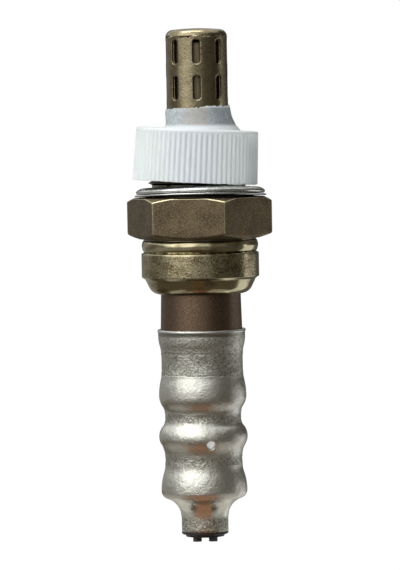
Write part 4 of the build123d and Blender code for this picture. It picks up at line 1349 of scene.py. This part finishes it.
class OXS_OT_stage(bpy.types.Operator):
    """Set the camera at the photograph's angle, the pale floor and the soft lights"""

    bl_idname = "oxs.stage"
    bl_label = "Studio"

    # The photograph: its size and scale, the rows of the seating face and of the eye's height, the
    # column of the axis halfway down, and the axis's lean
    image_size = (400, 570)
    pixels_per_metre = 5850
    seat_row = 197
    horizon_row = 112
    axis_column = 200.7
    lean = radians(1.06)
    # The camera's distance, and its sensor's width in millimetres
    distance = 0.65
    sensor_width = 36.0
    # Strength of the room's own light, and the point that the lamps face
    room_light = 0.26
    lamp_aim = (0, 0, -0.015)
    # Soft lamps: turn from the camera's side in degrees, distance, height, size and power
    lamps = (
        ("key_light", -42, 0.72, 0.42, (1.05, 0.95), 4.1),
        ("strip_light", 101, 0.8, 0.0, (0.08, 0.12), 0.06),
        ("top_light", -90, 0.17, 0.85, (0.35, 0.7), 5.5),
    )
    # Glowing walls that only the metal sees, painted reflections of a studio, all at one distance: from and
    # to which turn, their height and shade
    wall_radius = 1.6
    walls = (
        ("right_wall", 20, 54, 1.4, (0.18, 0.17, 0.145)),
        ("dark_wall", 54, 94, 2.0, (0.1, 0.09, 0.075)),
        ("side_wall", 94, 116, 1.4, (0.16, 0.15, 0.13)),
        ("far_side_wall", 116, 155, 1.4, (0.08, 0.076, 0.066)),
        ("left_wall", -155, -108, 0.4, (0.36, 0.355, 0.35)),
        ("dim_wall", -108, -58, 0.4, (0.22, 0.215, 0.21)),
        ("window", -56, -30, 0.4, (0.72, 0.7, 0.65)),
        ("front_wall", -28, 20, 0.16, (0.22, 0.21, 0.195)),
        ("back_wall", 155, 205, 0.7, (0.1, 0.095, 0.085)),
    )
    # Glowing tables that only the metal sees, painted reflections of the floor, the warm ones for the warm
    # tint low on the sleeve and body: turns, near and far radius, and shade
    tables = (
        ("throat_left", -180, -64, 0.0045, 0.0125, (0.8, 0.79, 0.75)),
        ("throat_left_dark", -64, -38, 0.0045, 0.009, (0.04, 0.03, 0.02)),
        ("throat_left_grey", -64, -38, 0.009, 0.0125, (0.4, 0.38, 0.35)),
        ("throat_warm", -38, 28, 0.002, 0.0125, (0.4, 0.22, 0.13)),
        ("throat_right_dark", 28, 54, 0.0045, 0.009, (0.04, 0.03, 0.02)),
        ("throat_right_grey", 28, 54, 0.009, 0.0125, (0.4, 0.38, 0.35)),
        ("throat_right", 54, 130, 0.0045, 0.0125, (0.75, 0.74, 0.7)),
        ("near_left", -180, -48, 0.0125, 0.036, (0.46, 0.45, 0.42)),
        ("near_warm", -48, 34, 0.0125, 0.023, (0.38, 0.19, 0.11)),
        ("near_front", -48, 34, 0.023, 0.036, (0.14, 0.11, 0.08)),
        ("near_right", 34, 97, 0.0125, 0.036, (0.5, 0.49, 0.46)),
        ("near_back", 138, 180, 0.0125, 0.036, (0.14, 0.135, 0.12)),
        ("dark_table", -180, 97, 0.036, 0.085, (0.115, 0.092, 0.066)),
        ("left_table", -180, 20, 0.085, 1.6, (0.34, 0.33, 0.31)),
        ("right_table", 20, 97, 0.085, 1.6, (0.1, 0.095, 0.08)),
        ("back_table", 134, 180, 0.036, 1.6, (0.14, 0.135, 0.12)),
        ("warm_far", -16, 6, 0.036, 0.07, (0.15, 0.085, 0.045)),
    )
    # Height of the first table over the floor, and from each to the next
    table_lift = 0.2 * MM
    table_step = 0.01 * MM
    # Floor: half its width, its shade, and the strength and share of the white that is seen in its place
    floor_reach = 3.0
    floor_shade = (0.9, 0.9, 0.9)
    floor_white = 1.035
    floor_glow = 0.965

    def camera(self, context):
        """Look at the object from the photograph's place, a little above, with the same lean."""
        middle = self.image_size[1] / 2
        aim_height = (self.seat_row - middle) / self.pixels_per_metre
        eye_height = (self.seat_row - self.horizon_row) / self.pixels_per_metre
        aside = (self.image_size[0] / 2 - self.axis_column) / self.pixels_per_metre
        aim = polar(aside, SIDEWAYS, aim_height)
        eye = aim + polar(self.distance, FACING, eye_height - aim_height)
        back = (eye - aim).normalized()
        right = Vector((0, 0, 1)).cross(back).normalized()
        up = back.cross(right)
        leaned_right = right * cos(self.lean) - up * sin(self.lean)
        leaned_up = back.cross(leaned_right)
        lens = bpy.data.cameras.new("photo_camera")
        lens.sensor_width = self.sensor_width
        reach = (eye - aim).length
        lens.lens = lens.sensor_width * reach * self.pixels_per_metre / self.image_size[1]
        lens.clip_start = 0.01
        lens.clip_end = 20.0
        camera = bpy.data.objects.new("photo_camera", lens)
        context.scene.collection.objects.link(camera)
        turn = Matrix((leaned_right, leaned_up, back)).transposed().to_4x4()
        camera.matrix_world = Matrix.Translation(eye) @ turn
        context.scene.camera = camera

    def lamp(self, context, name, place, size, watts):
        """Add a soft rectangular lamp that faces the object."""
        light = bpy.data.lights.new(name, "AREA")
        light.shape = "RECTANGLE"
        light.size, light.size_y = size
        light.energy = watts
        lamp = bpy.data.objects.new(name, light)
        context.scene.collection.objects.link(lamp)
        lamp.location = place
        lamp.rotation_euler = (Vector(self.lamp_aim) - place).to_track_quat("-Z", "Y").to_euler()

    def rays(self, shaders):
        """Masks for the rays from the camera, off shiny surfaces and through clear ones."""
        kinds = ("Is Camera Ray", "Is Glossy Ray", "Is Transmission Ray")
        return [shaders.node("LightPath", {}, {}, kind) for kind in kinds]

    def floor(self, context, level):
        """Lay the pale floor, which the camera and the metal see as almost even white."""
        mesh = bpy.data.meshes.new("floor")
        far = self.floor_reach
        corners = [(-far, -far, level), (far, -far, level), (far, far, level), (-far, far, level)]
        mesh.from_pydata(corners, [], [(0, 1, 2, 3)])
        sheet = bpy.data.objects.new("floor", mesh)
        context.scene.collection.objects.link(sheet)
        finish = Finish("floor", {"Roughness": 0.9, "Specular IOR Level": 0.0})
        grain = finish.noise(0.3, 2.0)
        finish.feed("Base Color", finish.mix(grain * 0.1, self.floor_shade, dimmed(self.floor_shade, 0.9)))
        camera, glossy, clear = self.rays(finish)
        white = finish.node("Emission", {}, {"Color": (1, 1, 1, 1), "Strength": self.floor_white})
        plain = Value(finish, finish.shader.outputs[0])
        finish.surface("Material Output", (camera + glossy + clear) * self.floor_glow, plain, white)
        mesh.materials.append(finish.material)

    def world(self, context):
        """Even dim light, with white where the camera or the metal looks past the stage."""
        world = bpy.data.worlds.new("studio")
        world.use_nodes = True
        room = Shaders(world.node_tree)
        dim = room.tree.nodes["Background"]
        dim.inputs["Color"].default_value = (1, 1, 1, 1)
        dim.inputs["Strength"].default_value = self.room_light
        white = room.node("Background", {}, {"Color": (1, 1, 1, 1)})
        camera, glossy, clear = self.rays(room)
        seen = room.maths("MAXIMUM", room.maths("MAXIMUM", camera, glossy), clear)
        room.surface("World Output", seen, Value(room, dim.outputs[0]), white)
        context.scene.world = world

    def screen(self, context, name, rows, shade):
        """Set up a curved screen that glows with its shade and that only the metal sees, as a studio's walls
        and table.
        """
        mesh = bpy.data.meshes.new(name)
        width = len(rows[0])
        faces = []
        for row in range(len(rows) - 1):
            for column in range(width - 1):
                first = row * width + column
                faces.append((first, first + 1, first + width + 1, first + width))
        mesh.from_pydata([point for row in rows for point in row], [], faces)
        screen = bpy.data.objects.new(name, mesh)
        context.scene.collection.objects.link(screen)
        finish = Finish(name, {"Base Color": (0, 0, 0, 1), "Roughness": 1.0, "Specular IOR Level": 0.0})
        finish.shader.inputs["Emission Color"].default_value = (*shade, 1)
        finish.shader.inputs["Emission Strength"].default_value = 1.0
        mesh.materials.append(finish.material)
        screen.visible_camera = False
        screen.visible_diffuse = False
        screen.visible_shadow = False
        screen.visible_transmission = False

    def execute(self, context):
        self.camera(context)
        self.world(context)
        ground = cad_box[0].z
        self.floor(context, ground)
        for name, turn, distance, height, size, watts in self.lamps:
            self.lamp(context, name, polar(distance, FACING + radians(turn), height), size, watts)
        for name, start, end, height, shade in self.walls:
            turns = span(FACING + radians(start), FACING + radians(end), 12)
            rows = [[polar(self.wall_radius, turn, level) for turn in turns] for level in (ground, height)]
            self.screen(context, name, rows, shade)
        for index, (name, start, end, near, reach, shade) in enumerate(self.tables):
            turns = span(FACING + radians(start), FACING + radians(end), 24)
            level = ground + self.table_lift + index * self.table_step
            rows = [[polar(radius, turn, level) for turn in turns] for radius in (near, reach)]
            self.screen(context, name, rows, shade)
        context.scene.view_settings.view_transform = "Standard"
        return {"FINISHED"}


class OXS_PT_sensor(bpy.types.Panel):
    """Sizes, colours and steps of the oxygen sensor"""

    bl_idname = "OXS_PT_sensor"
    bl_label = "Oxygen sensor"
    bl_space_type = "VIEW_3D"
    bl_region_type = "UI"
    bl_category = "Oxygen sensor"

    def draw(self, context):
        for step in steps:
            self.layout.operator(step.bl_idname)
        for label, group in groups.items():
            box = self.layout.box()
            box.label(text=group.__doc__)
            for name in group.__annotations__:
                box.prop(getattr(context.scene, label), name)


steps = (
    OXS_OT_protector,
    OXS_OT_cap,
    OXS_OT_gasket,
    OXS_OT_shell,
    OXS_OT_inner_sleeve,
    OXS_OT_outer_sleeve,
    OXS_OT_leads,
    OXS_OT_inner_works,
    OXS_OT_stage,
)
groups = {
    "oxs_protector": ProtectorSizes,
    "oxs_shell": ShellSizes,
    "oxs_cap": CapSizes,
    "oxs_sleeve": SleeveSizes,
    "oxs_colours": FinishColours,
}


def register():
    """Register the classes and keep the settings on the scene."""
    for kind in (*groups.values(), *steps, OXS_PT_sensor):
        bpy.utils.register_class(kind)
    for label, group in groups.items():
        setattr(bpy.types.Scene, label, PointerProperty(type=group))


def unregister():
    """Take the settings and the classes away again."""
    for label in groups:
        delattr(bpy.types.Scene, label)
    for kind in reversed((*groups.values(), *steps, OXS_PT_sensor)):
        bpy.utils.unregister_class(kind)


def main():
    """Run every step in order."""
    register()
    bpy.ops.oxs.protector()
    bpy.ops.oxs.cap()
    bpy.ops.oxs.gasket()
    bpy.ops.oxs.shell()
    bpy.ops.oxs.inner_sleeve()
    bpy.ops.oxs.outer_sleeve()
    bpy.ops.oxs.leads()
    bpy.ops.oxs.inner_works()
    bpy.ops.oxs.stage()


if __name__ == "__main__":
    main()
